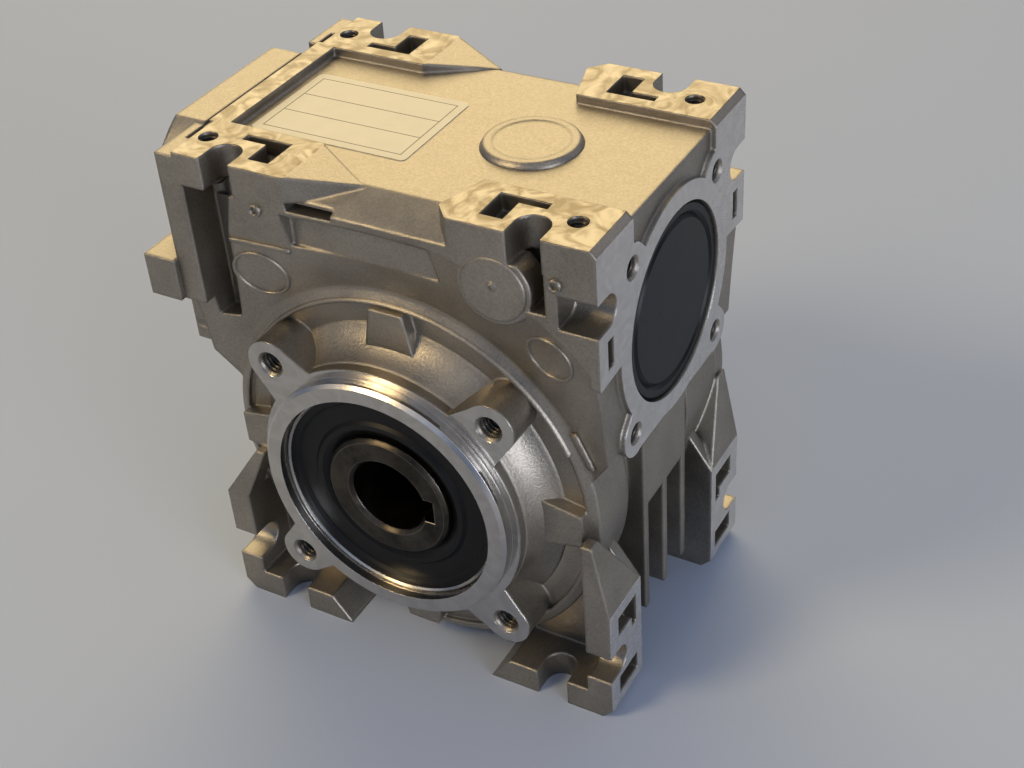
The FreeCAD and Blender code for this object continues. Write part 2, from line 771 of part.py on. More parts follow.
def bottom_corners():
    """Feet: a slotted slab, an upright end plate, a leaning brace up to the chamber and a back web."""
    made = []
    for sx, sy in CORNERS:
        tag = f"{sx}_{sy}"
        inner = "pad_side - foot_width"
        side = span(sy, inner, "pad_side")
        slab = [(f"{sx} * (case_end - foot_length - foot_toe)", "foot_plane"),
                (f"{sx} * case_end", "foot_plane"), (f"{sx} * case_end", "foot_top"),
                (f"{sx} * (case_end - foot_length)", "foot_top")]
        made.append(prism("foot_" + tag, "XZ", slab, side))
        plate_top = "foot_plane + foot_plate_height"
        plate = span(sx, "case_end - foot_plate", "case_end")
        made.append(block("foot_plate_" + tag, plate, side, ("foot_plane", plate_top)))
        right = sx > 0
        high = f"{plate_top} + " + ("foot_brace_rise" if right else "left_brace_rise")
        lean = "case_end - " + ("foot_brace_lean" if right else "left_brace_lean")
        lip = "pad_side - foot_brace_lip"
        slant = [(f"{sy} * pad_side", plate_top), (f"{sy} * pad_side", high),
                 (f"{sy} * (pad_side - foot_brace_top)", high), (f"{sy} * ({inner})", plate_top)]
        ranges = {"lip": ("foot_brace_thickness", span(sy, lip, "pad_side")),
                  "fill": ("foot_brace_reach", span(sy, inner, lip))}
        for part, (thick, deep) in ranges.items():
            brace = [(f"{sx} * case_end", plate_top), (f"{sx} * ({lean})", high),
                     (f"{sx} * ({lean} - {thick})", high), (f"{sx} * (case_end - foot_plate)", plate_top)]
            upright = prism(f"brace_{part}_{tag}", "XZ", brace, deep)
            reach = span(sx, "pad_start", "case_end")
            made.append(common(f"foot_brace_{part}_{tag}", upright,
                               prism(f"brace_{part}_side_{tag}", "YZ", slant, reach)))
        web = [(f"{sx} * (case_end - foot_length)", "foot_plane"), (f"{sx} * case_end", "foot_plane"),
               (f"{sx} * case_end", plate_top), (f"{sx} * ({lean} - foot_brace_reach)", high),
               (f"{sx} * (case_end - foot_length)", high)]
        made.append(prism("foot_web_" + tag, "XZ", web, span(sy, inner, f"{inner} + foot_back_web")))
    return made


def cooling_fins():
    """Upright fins below both tunnel ends, joined by a web under the round face."""
    made = []
    for sx in (1, -1):
        reach = span(sx, "worm_seat", "fin_end")
        ends = ("-fin_pitch - fin_thickness / 2", "fin_pitch + fin_thickness / 2")
        made.append(block(f"fin_web_{sx}", reach, ends, ("-fin_web_low", "block_floor + end_lug_radius")))
        for place_number in (-1, 0, 1):
            thick = (f"{place_number} * fin_pitch - fin_thickness / 2",
                     f"{place_number} * fin_pitch + fin_thickness / 2")
            made.append(block(f"fin_{sx}_{place_number + 1}", span(sx, "pad_start", "fin_end"), thick,
                              ("-fin_low", "block_floor")))
    return made


def corner_cuts():
    """Slots, drilled holes, cored pockets and channels of the pads, posts and feet."""
    tools = []
    half = "slot_width / 2"
    for sx, sy in CORNERS:
        tag = f"{sx}_{sy}"
        mouth = span(sy, "slot_root", "pad_side + overrun")
        wide = (f"{sx} * slot_centre - {half}", f"{sx} * slot_centre + {half}")
        spot = (f"{sx} * slot_centre", f"{sy} * slot_root")
        levels = {"top": ("pad_under", "pad_top + overrun"),
                  "foot": ("foot_plane - overrun", "foot_top + overrun")}
        for level, ends in levels.items():
            tools.append(rod(f"{level}_slot_end_{tag}", "Z", half, ends, spot))
            tools.append(block(f"{level}_slot_{tag}", wide, mouth, ends))
        heights = {"side": ("pad_top - side_slot_drop", "side_slot_length"),
                   "plate": ("foot_plane + foot_slot_height", "foot_plate + overrun")}
        for level, (height, length) in heights.items():
            if level == "side" and sx < 0:
                continue
            reach = span(sx, f"case_end - ({length})", "case_end + overrun")
            tall = (f"{height} - {half}", f"{height} + {half}")
            tools.append(rod(f"{level}_slot_end_{tag}", "X", half, reach, (f"{sy} * slot_root", height)))
            tools.append(block(f"{level}_slot_{tag}", reach, mouth, tall))
        spot = (f"{sx} * (case_end - pad_hole_end)", f"{sy} * (pad_side - pad_hole_side)")
        depth = ("pad_top - pad_hole_depth", "pad_top + overrun")
        tools.append(rod("pad_hole_" + tag, "Z", "pad_hole / 2", depth, spot))
        sunk = ("pad_top - pocket_depth", "pad_top + overrun")
        inner = span(sy, "pad_side - pocket_inner", "pad_side - pocket_inner + pocket_width")
        tools.append(block("pocket_" + tag, span(sx, "case_end - pocket_start", "case_end - pocket_end"),
                           inner, sunk))
        bar = span(sx, "case_end - pocket_start", "case_end - pocket_start + pocket_bar")
        tools.append(block("pocket_bar_" + tag, bar,
                           span(sy, "pad_side - pocket_inner", "pad_side - pocket_near"), sunk))
        tools += plate_pockets(tag, sx, sy)
        tools.append(edge_bevel("foot_bevel_" + tag, sx, sy, "foot_plane", -1, "foot_bevel"))
        if sx > 0:
            tools.append(edge_bevel("pad_bevel_" + tag, sx, sy, "pad_top", 1, "pad_bevel"))
    return tools


def edge_bevel(name, sx, sy, level, sz, size):
    """A sloped cut along the outer edge of a pad or foot."""
    points = [(f"case_end - {size} - overrun", "overrun"), ("case_end + overrun", "overrun"),
              ("case_end + overrun", f"-({size}) - overrun")]
    outline = [(f"{sx} * ({along})", f"{level} + {sz} * ({rise})") for along, rise in points]
    return prism(name, "XZ", outline, span(sy, "pad_inner - overrun", "pad_side + overrun"))


def plate_pockets(tag, sx, sy):
    """Cored pockets that leave a frame on the foot's end plate, and the small one in the strip."""
    inner = "pad_side - plate_pocket_inner"
    outer = "pad_side - plate_pocket_side"
    leg = f"{inner} + plate_pocket_leg"
    deep = span(sx, "case_end - plate_pocket_depth", "case_end + overrun")
    shallow = span(sx, "case_end - strip_pocket_depth", "case_end + overrun")
    near = "pad_side - strip_pocket_side"
    low = "pad_top - strip_pocket_low"
    return [
        block("upper_pocket_" + tag, deep, span(sy, inner, outer),
              ("foot_plane + upper_pocket_low", "foot_plane + upper_pocket_top")),
        block("upper_pocket_leg_" + tag, deep, span(sy, inner, leg),
              ("foot_plane + upper_pocket_leg_low", "foot_plane + upper_pocket_top")),
        block("lower_pocket_" + tag, deep, span(sy, inner, outer),
              ("foot_plane + lower_pocket_low", "foot_plane + lower_pocket_top")),
        block("strip_pocket_" + tag, shallow, span(sy, f"{near} - strip_pocket_width", near),
              (low, f"{low} + strip_pocket_height")),
    ]


def housing():
    """One aluminium casting: worm tunnel above, wheel chamber below, pads and feet at the corners."""
    fins = cooling_fins()
    solids = [worm_block(), wheel_chamber()] + output_lugs("front_lug", -1, "dish_floor - overrun")
    solids += dome_ribs() + end_faces() + top_corners() + bottom_corners() + fins
    casting = fuse("casting", solids)
    past = "wall_side + overrun"
    inside = lathe("output_cavity", "Y", [
        (past, "0"), (past, "chamber"), ("-(output_seat + boss_relief)", "chamber"),
        ("-(output_seat + boss_relief)", "boss"), ("-(boss_end)", "boss"),
        ("-(boss_end)", "output_bearing_outer / 2"), ("-(output_seat_end)", "output_bearing_outer / 2"),
        ("-(output_seat_end)", "output_seal_outer / 2"),
        ("-(spigot_face + overrun)", "output_seal_outer / 2"),
        ("-(spigot_face + overrun)", "0")])
    bore = "worm_bearing_outer / 2"
    groove = f"{bore} + circlip_depth"
    half = [("worm_seat", "tunnel"), ("worm_seat", bore),
            ("worm_seat_end", bore), ("worm_seat_end", groove),
            ("circlip_end + circlip_play", groove), ("circlip_end + circlip_play", bore),
            ("case_end + overrun", bore), ("case_end + overrun", "0")]
    mirror = [(f"-({along})", radius) for along, radius in reversed(half)]
    tools = [inside, lathe("worm_tunnel", "X", mirror + half)]
    for i, (sx, sz) in enumerate(CORNERS):
        across = (f"{sx} * lug_offset", f"{sz} * lug_offset")
        tools += threaded_hole(f"front_bolt_hole_{i}", "Y", -1, "lug_face", "output_bolt", across)
        point = (f"{sx} * end_offset", f"centre_distance + {sz} * end_offset")
        tools += threaded_hole(f"end_bolt_hole_{i}", "X", 1, "case_end", "end_bolt", point)
        depth = span(-1, "case_end - end_bolt_depth", "case_end + overrun")
        tools.append(rod(f"flange_screw_hole_{i}", "X", "flange_screw / 2", depth, point))
    for i in range(int(value("cover_screw_count"))):
        point = polar("Y", "cover_screw_circle / 2", screw_angle(i))
        depth = ("cover_face - cover_screw_length - overrun", "wall_side + overrun")
        tools.append(rod(f"cover_screw_hole_{i}", "Y", "cover_screw / 2", depth, point))
    panel = ("skin_top - panel_low", "skin_top - panel_low + panel_height")
    tools.append(block("panel_recess", ("-panel_left", "panel_right"),
                       span(-1, "pad_side - panel_inset", "pad_side + overrun"), panel))
    tools.append(rod("cover_room", "Y", "rim + cover_clearance", ("wall_side", "lug_face")))
    ring = ("skin_top + top_boss_rise / 2", "skin_top + top_boss_rise + overrun")
    tools.append(rod("top_boss_recess", "Z", "top_boss_diameter / 2 - top_boss_rim", ring,
                     ("top_boss_offset", "0")))
    keep(cut("housing_casting", casting, tools + corner_cuts()), "housing")


def screw_angle(i):
    """Cover screws stand between the bolt lugs."""
    count = int(value("cover_screw_count"))
    return 360 * (i + 0.5) / count


def rear_cover():
    """The removable output cover opposite the cast-in flange, with its seal ring and screws."""
    seat = "output_bearing_outer / 2"
    seal = "output_seal_outer / 2"
    pilot = "chamber - pilot_play"
    land = "rim - cover_land"
    groove_end = "wall_side - ring_edge"
    groove_start = f"{groove_end} - ring_section - ring_room"
    turned = lathe("cover_turned", "Y", [
        ("wall_side", "rim"), ("cover_face", "rim"), ("cover_face", land),
        ("lug_face - overrun", "flange_ring / 2"), ("lug_face", "flange_ring / 2"),
        ("lug_face", "spigot_diameter / 2"), ("spigot_face - spigot_chamfer", "spigot_diameter / 2"),
        ("spigot_face", "spigot_diameter / 2 - spigot_chamfer"), ("spigot_face", seal),
        ("output_seat_end", seal), ("output_seat_end", seat), ("boss_end", seat), ("boss_end", "boss"),
        ("wall_side - cover_pilot", "boss"), ("wall_side - cover_pilot", pilot), (groove_start, pilot),
        (groove_start, "groove_floor"), (groove_end, "groove_floor"), (groove_end, pilot),
        ("wall_side", pilot)])
    tools = []
    screws = []
    for i in range(int(value("cover_screw_count"))):
        point = polar("Y", "cover_screw_circle / 2", screw_angle(i))
        hole = ("wall_side - overrun", "cover_face + overrun")
        tools.append(rod(f"cover_hole_{i}", "Y", "cover_screw / 2 + head_play / 2", hole, point))
        screws.append(cap_screw(f"cover_screw_{i}", "Y", 1, "cover_face", "cover_screw", point))
    for i, (sx, sz) in enumerate(CORNERS):
        across = (f"{sx} * lug_offset", f"{sz} * lug_offset")
        tools += threaded_hole(f"rear_bolt_hole_{i}", "Y", 1, "lug_face", "cover_bolt", across)
    solid = fuse("cover_solid", [turned] + output_lugs("rear_lug", 1, "wall_side"))
    keep(cut("cover", solid, tools), "rear_cover")
    keep(group("cover_screws", screws), "rear_cover_screws")
    ring = doc.addObject("Part::Torus", "cover_ring")
    bind(ring, "Radius1", "groove_floor + ring_play / 2 + ring_section / 2")
    bind(ring, "Radius2", "ring_section / 2")
    place(ring, ALONG["Y"], ("0", f"({groove_start} + {groove_end}) / 2", "0"))
    keep(ring, "rear_cover_o_ring")


def lip_seal(name, axis, sign, inner, outer, bore, shell):
    """A rubber lip seal: a pressed wall, a web on the open side and a lip on the shaft."""
    lip = f"{bore} / 2 + lip_play"
    wall = f"{shell} / 2 - seal_wall"
    rise = f"({shell} - {bore}) / 2"
    inward = f"{inner} + seal_width * lip_tip_set"
    dip = f"{outer} - seal_web * face_dip"
    back = f"{outer} - seal_web"
    points = [(inner, f"{shell} / 2"), (outer, f"{shell} / 2"), (outer, wall),
              (dip, f"{wall} - {rise} * seal_taper"), (dip, f"{lip} + {rise} * dust_lip_outer"),
              (outer, f"{lip} + {rise} * dust_lip_crest"), (outer, f"{lip} + {rise} * dust_lip_inner"),
              (f"{outer} - seal_web * dust_lip_set", lip), (back, f"{lip} + {rise} * lip_waist"),
              (f"{inner} + seal_width * lip_edge_set", lip), (inward, f"{lip} + {rise} * lip_tip"),
              (inward, f"{lip} + {rise} * lip_root"), (back, f"{lip} + {rise} * lip_back"), (back, wall),
              (inner, wall)]
    if sign < 0:
        points = [(f"-({along})", radius) for along, radius in points]
    keep(lathe(name + "_rubber", axis, points), name)


def hollow_shaft():
    """The steel output shaft: keyed bore, two journals and the hub that carries the wheel rim."""
    journal = "output_journal / 2"
    bore = "output_bore / 2"
    shoulder = "shoulder_diameter / 2"
    half = [("wheel_width / 2", "hub_diameter / 2"), ("wheel_width / 2", shoulder),
            ("output_seat", shoulder), ("output_seat", journal), ("shaft_end - edge_chamfer", journal),
            ("shaft_end", f"{journal} - edge_chamfer"), ("shaft_end", f"{bore} + edge_chamfer"),
            ("shaft_end - edge_chamfer", bore)]
    mirror = [(f"-({along})", radius) for along, radius in reversed(half)]
    turned = lathe("shaft_turned", "Y", mirror + half)
    wide = ("-output_key_width / 2", "output_key_width / 2")
    key = block("output_keyway", ("0", f"{bore} + output_key_rise"),
                ("-(shaft_end + overrun)", "shaft_end + overrun"), wide)
    keep(cut("shaft", turned, [key]), "output_hollow_shaft")


def tooth_gap():
    """One gap between two wheel teeth: involute flanks swept along the wheel's own helix."""
    pitch = value("wheel_pitch")
    teeth = value("wheel_teeth")
    base = pitch * math.cos(math.radians(value("pressure_angle")))
    root = pitch - value("gear_module") - value("root_clearance")
    outer = value("wheel_outer") + value("overrun")
    half = math.pi / (2 * teeth) + value("flank_play") / pitch

    def involute(radius):
        turn = math.acos(base / radius)
        return math.tan(turn) - turn

    def flank(radius, side):
        angle = side * (half + involute(max(radius, base)) - involute(pitch))
        return Vector(radius * math.cos(angle), radius * math.sin(angle), 0)

    middle = (base + outer) / 2
    edges = [
        Part.LineSegment(flank(root, -1), flank(base, -1)),
        Part.Arc(flank(base, -1), flank(middle, -1), flank(outer, -1)),
        Part.Arc(flank(outer, -1), Vector(outer, 0, 0), flank(outer, 1)),
        Part.Arc(flank(outer, 1), flank(middle, 1), flank(base, 1)),
        Part.LineSegment(flank(base, 1), flank(root, 1)),
        Part.Arc(flank(root, 1), Vector(root, 0, 0), flank(root, -1)),
    ]
    wire = Part.Wire([edge.toShape() for edge in edges])
    lead_angle = math.atan(value("gear_module") * value("worm_starts") / value("worm_pitch_diameter"))
    lead = 2 * math.pi * pitch / math.tan(lead_angle)
    length = value("wheel_width") + 2 * value("overrun")
    spine = Part.Wire(Part.makeLongHelix(lead, length, pitch).Edges)
    gap = spine.makePipeShell([wire], True, True)
    gap.translate(Vector(0, 0, -length / 2))
    gap.rotate(Vector(), Z_AXIS, -180 * length / lead)
    return gap


def wheel_rim():
    """The bronze rim: a throated blank with its teeth cut one gap at a time."""
    half = value("wheel_width") / 2
    bore = value("hub_diameter") / 2
    outer = value("wheel_outer")
    corners = [(bore, -half), (outer, -half), (outer, half), (bore, half), (bore, -half)]
    section = Part.Face(Part.makePolygon([Vector(radius, 0, along) for radius, along in corners]))
    blank = section.revolve(Vector(), Z_AXIS, 360)
    centre = value("centre_distance")
    blank = blank.cut(Part.makeTorus(centre, centre - value("wheel_tip")))
    first = tooth_gap()
    gaps = []
    for i in range(int(value("wheel_teeth"))):
        gap = first.copy()
        gap.rotate(Vector(), Z_AXIS, 360 * i / value("wheel_teeth"))
        gaps.append(gap)
    rim = doc.addObject("Part::Feature", "wheel_rim_toothed")
    rim.Shape = blank.cut(gaps)
    rim.Placement = FreeCAD.Placement(Vector(), FreeCAD.Rotation(Z_AXIS, X_AXIS, Y_AXIS, "XYZ"))
    keep(rim, "worm_wheel_rim")


def worm_threads():
    """The helical threads, trapezoidal in axial section, with bevelled ends."""
    module = value("gear_module")
    starts = int(value("worm_starts"))
    pitch = value("worm_pitch_diameter") / 2
    tip = value("worm_tip")
    root = value("worm_root")
    inner = root - value("thread_embed")
    past = tip + value("overrun")
    slope = math.tan(math.radians(value("pressure_angle")))
    thickness = math.pi * module / 4 - value("flank_play")
    lead = math.pi * module * starts
    half = value("thread_length") / 2
    sweep = 2 * (half + lead)

    def corner(radius, side):
        return Vector(radius, 0, side * (thickness - (radius - pitch) * slope))

    wire = Part.makePolygon([corner(inner, -1), corner(past, -1), corner(past, 1), corner(inner, 1),
                             corner(inner, -1)])
    thread = Part.Wire(Part.makeLongHelix(lead, sweep, pitch).Edges).makePipeShell([wire], True, True)
    thread.translate(Vector(0, 0, -sweep / 2))
    thread.rotate(Vector(), Z_AXIS, -180 * sweep / lead)
    bevel = tip - root
    deep = inner - value("thread_embed")
    limits = [(deep, -half), (root, -half), (tip, bevel - half), (tip, half - bevel), (root, half),
              (deep, half), (deep, -half)]
    blank = Part.Face(Part.makePolygon([Vector(radius, 0, along) for radius, along in limits]))
    blank = blank.revolve(Vector(), Z_AXIS, 360)
    made = []
    for i in range(starts):
        start = thread.copy()
        start.rotate(Vector(), Z_AXIS, 360 * i / starts)
        feature = doc.addObject("Part::Feature", f"worm_thread_{i}")
        feature.Shape = start.common(blank)
        turn = FreeCAD.Rotation(-Z_AXIS, Y_AXIS, X_AXIS, "XYZ")
        feature.Placement = FreeCAD.Placement(Vector(0, 0, value("centre_distance")), turn)
        made.append(feature)
    return made


def worm_shaft():
    """The hardened steel worm, one piece with its shaft, with a keyed bore at the input end."""
    journal = "worm_journal / 2"
    shoulder = "worm_shoulder / 2"
    neck = "worm_seat - worm_shoulder_width"
    bore = "input_bore / 2"
    floor = "-(input_end - input_bore_depth)"
    turned = lathe("worm_turned", "X", [
        ("-(input_end)", bore), ("-(input_end)", f"{journal} - edge_chamfer"),
        ("-(input_end - edge_chamfer)", journal), ("-(worm_seat)", journal), ("-(worm_seat)", shoulder),
        (f"-({neck})", shoulder), (f"-({neck})", "worm_root"), (neck, "worm_root"), (neck, shoulder),
        ("worm_seat", shoulder), ("worm_seat", journal), ("worm_seat_end + journal_overhang", journal),
        ("worm_seat_end + journal_overhang", "0"), (floor, "0"), (floor, bore)])
    wide = ("-input_key_width / 2", "input_key_width / 2")
    rise = ("centre_distance", f"centre_distance + {bore} + input_key_rise")
    key = block("input_keyway", ("-(input_end + overrun)", floor), wide, rise)
    keep(fuse("worm", [cut("worm_keyed", turned, [key])] + worm_threads()), "worm_shaft")


def end_cap():
    """The black closing cap pressed into the tunnel end: a cup with a ring groove in its face."""
    outer = "worm_bearing_outer / 2"
    back = "cap_outer - cap_width"
    groove = f"{outer} - cap_rim"
    keep(lathe("cap", "X", [
        ("cap_outer", "0"), ("cap_outer", f"{groove} - cap_groove"), ("cap_outer - cap_groove", groove),
        ("cap_outer", f"{groove} + cap_groove"), ("cap_outer", f"{outer} - cap_groove"),
        ("cap_outer - cap_groove", outer), (back, outer), (back, f"{outer} - cap_rim"),
        ("cap_outer - cap_skin", f"{outer} - cap_rim"), ("cap_outer - cap_skin", "0")]), "end_cap")


def circlip(name, sign):
    """A spring ring in the tunnel groove outside a worm bearing, open at the bottom."""
    across = across_axis("X")
    ends = span(sign, "circlip_start", "circlip_end")
    outer = "worm_bearing_outer / 2 + circlip_depth - circlip_play"
    solid = rod(name + "_blank", "X", outer, ends, across)
    hole = rod(name + "_hole", "X", f"{outer} - circlip_radial", ends, across)
    gap = block(name + "_gap", ends, ("-circlip_gap_width / 2", "circlip_gap_width / 2"),
                ("centre_distance - worm_bearing_outer", "centre_distance"))
    keep(cut(name + "_ring", solid, [hole, gap]), name)


def input_flange():
    """The motor side flange on the tunnel's input end, with its four screws sunk in its face."""
    ends = span(-1, "case_end", "flange_face")
    across = across_axis("X")
    disc = rod("flange_disc", "X", "input_flange_radius", ends, across)
    flats = block("flange_flats", ends, ("-input_flange_side", "input_flange_side"),
                  ("centre_distance - input_flange_flat", "centre_distance + input_flange_flat"))
    ears = block("flange_ears", ends, ("-ear_reach", "ear_reach"),
                 ("centre_distance - ear_height / 2", "centre_distance + ear_height / 2"))
    solid = fuse("flange_solid", [common("flange_round", disc, flats), ears])
    through = span(-1, "case_end - overrun", "flange_face + overrun")
    pilot = span(-1, "flange_face - input_pilot_depth", "flange_face + overrun")
    tools = [rod("flange_bore", "X", "input_flange_bore / 2", through, across),
             rod("flange_pilot", "X", "input_pilot / 2", pilot, across)]
    for sign in (1, -1):
        point = (f"{sign} * (ear_reach - ear_hole_inset)", "centre_distance")
        tools.append(rod(f"ear_hole_{sign}", "X", "ear_hole / 2", through, point))
    seat = "flange_face - flange_screw_head_height - head_sink"
    screws = []
    for i, (sy, sz) in enumerate(CORNERS):
        point = (f"{sy} * end_offset", f"centre_distance + {sz} * end_offset")
        tools.append(rod(f"flange_hole_{i}", "X", "flange_screw / 2 + head_play / 2", through, point))
        sunk = span(-1, seat, "flange_face + overrun")
        tools.append(rod(f"flange_sink_{i}", "X", "flange_screw_head / 2 + head_play", sunk, point))
        screws.append(cap_screw(f"flange_screw_{i}", "X", -1, seat, "flange_screw", point))
    keep(cut("flange", solid, tools), "input_flange")
    keep(group("flange_screws", screws), "input_flange_screws")


housing()
rear_cover()
hollow_shaft()
wheel_rim()
worm_shaft()
end_cap()
circlip("end_circlip", 1)
circlip("input_circlip", -1)
input_flange()
lip_seal("front_output_seal", "Y", -1, "seal_inner", "seal_outer", "output_journal", "output_seal_outer")
lip_seal("rear_output_seal", "Y", 1, "seal_inner", "seal_outer", "output_journal", "output_seal_outer")
lip_seal("input_seal", "X", -1, "case_end - seal_width", "case_end", "worm_journal", "worm_bearing_outer")
for bearing_name, side in (("front_output_bearing", -1), ("rear_output_bearing", 1)):
    ball_bearing(bearing_name, "Y", side, "output_seat", "output_journal", "output_bearing_outer",
                 "output_bearing_width", "output_ball", "output_ball_count")
for bearing_name, side in (("end_worm_bearing", 1), ("input_worm_bearing", -1)):
    ball_bearing(bearing_name, "X", side, "worm_seat", "worm_journal", "worm_bearing_outer",
                 "worm_bearing_width", "worm_ball", "worm_ball_count")

doc.recompute()
for item in doc.Objects:
    if "Invalid" in item.State or "Error" in item.State:
        raise RuntimeError(f"{item.Name} failed: {item.State}")
for piece in pieces:
    if piece.Shape.isNull() or not piece.Shape.isValid() or not piece.Shape.Solids:
        raise RuntimeError(f"{piece.Label} has no valid solid")

os.makedirs("parts", exist_ok=True)
for piece in pieces:
    piece.Shape.exportStep(f"parts/{piece.Label}.step")
    print(piece.Label, len(piece.Shape.Solids), round(piece.Shape.Volume, 1))
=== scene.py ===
"""Worm gear reducer with a hollow output shaft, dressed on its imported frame."""
import math

import bmesh
import bpy
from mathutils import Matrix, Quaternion, Vector


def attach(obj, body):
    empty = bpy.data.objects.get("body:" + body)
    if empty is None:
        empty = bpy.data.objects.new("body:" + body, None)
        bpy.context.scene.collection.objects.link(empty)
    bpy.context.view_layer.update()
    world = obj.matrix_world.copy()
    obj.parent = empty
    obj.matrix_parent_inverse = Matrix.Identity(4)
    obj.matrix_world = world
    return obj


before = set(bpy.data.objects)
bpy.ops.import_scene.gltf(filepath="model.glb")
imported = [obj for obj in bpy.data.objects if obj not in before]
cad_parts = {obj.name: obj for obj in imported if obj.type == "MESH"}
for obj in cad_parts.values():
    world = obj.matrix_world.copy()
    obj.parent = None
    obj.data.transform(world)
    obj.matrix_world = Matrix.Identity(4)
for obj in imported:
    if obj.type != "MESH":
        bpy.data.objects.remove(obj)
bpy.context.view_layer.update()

# Housing: one aluminium die casting that holds both shafts and carries the
# pads and feet. Its skin comes grey and grainy out of the die; the pads, the
# feet and the bolting faces are milled or turned bright afterwards.
MM = 0.001  # in metres; sizes are in millimetres unless a name or a comment says otherwise
CAST_GREY = "#a59e92"
CAST_DARK = "#7a746a"
MILLED_GREY = "#bebab4"
# Dark milled colour: oiled metal, and on the pads also painted shade.
MILLED_DARK = "#6c6457"
PAD_TOP = 71.3
FOOT_FACE = -49.95
END_FACE = 49.95
BOLT_FACE = 37.7
# Die-cast skin: grain of about half a millimetre and clouds of oxide.
GRAIN = 0.5
GRAIN_SPAN = (0.35, 0.65)
GRAIN_SPECK = 0.18
GRAIN_RELIEF = 0.075
BLOTCH = 14.0
BLOTCH_SPAN = (0.3, 0.7)
BLOTCH_TONE = (0.3, 0.75)
CAST_ROUGH = (0.36, 0.48)
CAST_ROUND = 1.1
SKIN_METAL = 0.93
# Painted shade: how far the occlusion looks, and how dark it paints the skin in hollows.
HOLLOW_REACH = 7.0
HOLLOW_SPAN = (0.2, 0.8)
HOLLOW_SHADE = 0.88
# Milled and turned faces: oil smears with painted shade on the pads, cutter lines and a chalky end
# face.
# The cutter lines are drawn coarser than real ones so that they show; at a
# scale of 1, a wave texture has its lines WAVE_PERIOD apart.
SMEAR = 7.0
PAD_SPAN = (0.36, 0.64)
PAD_OIL_AND_SHADE = (0.64, 0.82)
FACE_SPAN = (0.35, 0.65)
FACE_OIL = (0.0, 0.2)
MILLED_ROUGH = (0.16, 0.26)
PAD_ROUGH = 0.1
MILLED_ROUND = 0.15
END_CHALK = 0.36
TURNING = 0.7
TOOL_LINE = 1.7
TOOL_RELIEF = 0.012
WAVE_PERIOD = 2 * math.pi / 20
SHADE_SAMPLES = 8
OUTPUT_AXIS = (0.0, 1.0, 0.0)


def linear(hex_colour):
    """An sRGB hex colour as the linear values a shader takes."""
    parts = [int(hex_colour[i:i + 2], 16) / 255 for i in (1, 3, 5)]
    return [p / 12.92 if p <= 0.04045 else ((p + 0.055) / 1.055) ** 2.4 for p in parts] + [1.0]


def node(tree, kind, inputs=None, **settings):
    """Adds a node with its settings; an input is a value or another node's output."""
    made = tree.nodes.new(kind)
    for name, setting in settings.items():
        setattr(made, name, setting)
    for key, item in (inputs or {}).items():
        if isinstance(item, bpy.types.NodeSocket):
            tree.links.new(item, made.inputs[key])
        else:
            made.inputs[key].default_value = item
    return made


def new_material(name):
    """A new material: the material itself, its node tree and its shader."""
    made = bpy.data.materials.new(name)
    made.use_nodes = True
    shader = made.node_tree.nodes["Principled BSDF"]
    return made, made.node_tree, shader


def dress(names, material):
    """Gives CAD nodes their material."""
    for name in names:
        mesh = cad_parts[name].data
        mesh.materials.clear()
        mesh.materials.append(material)


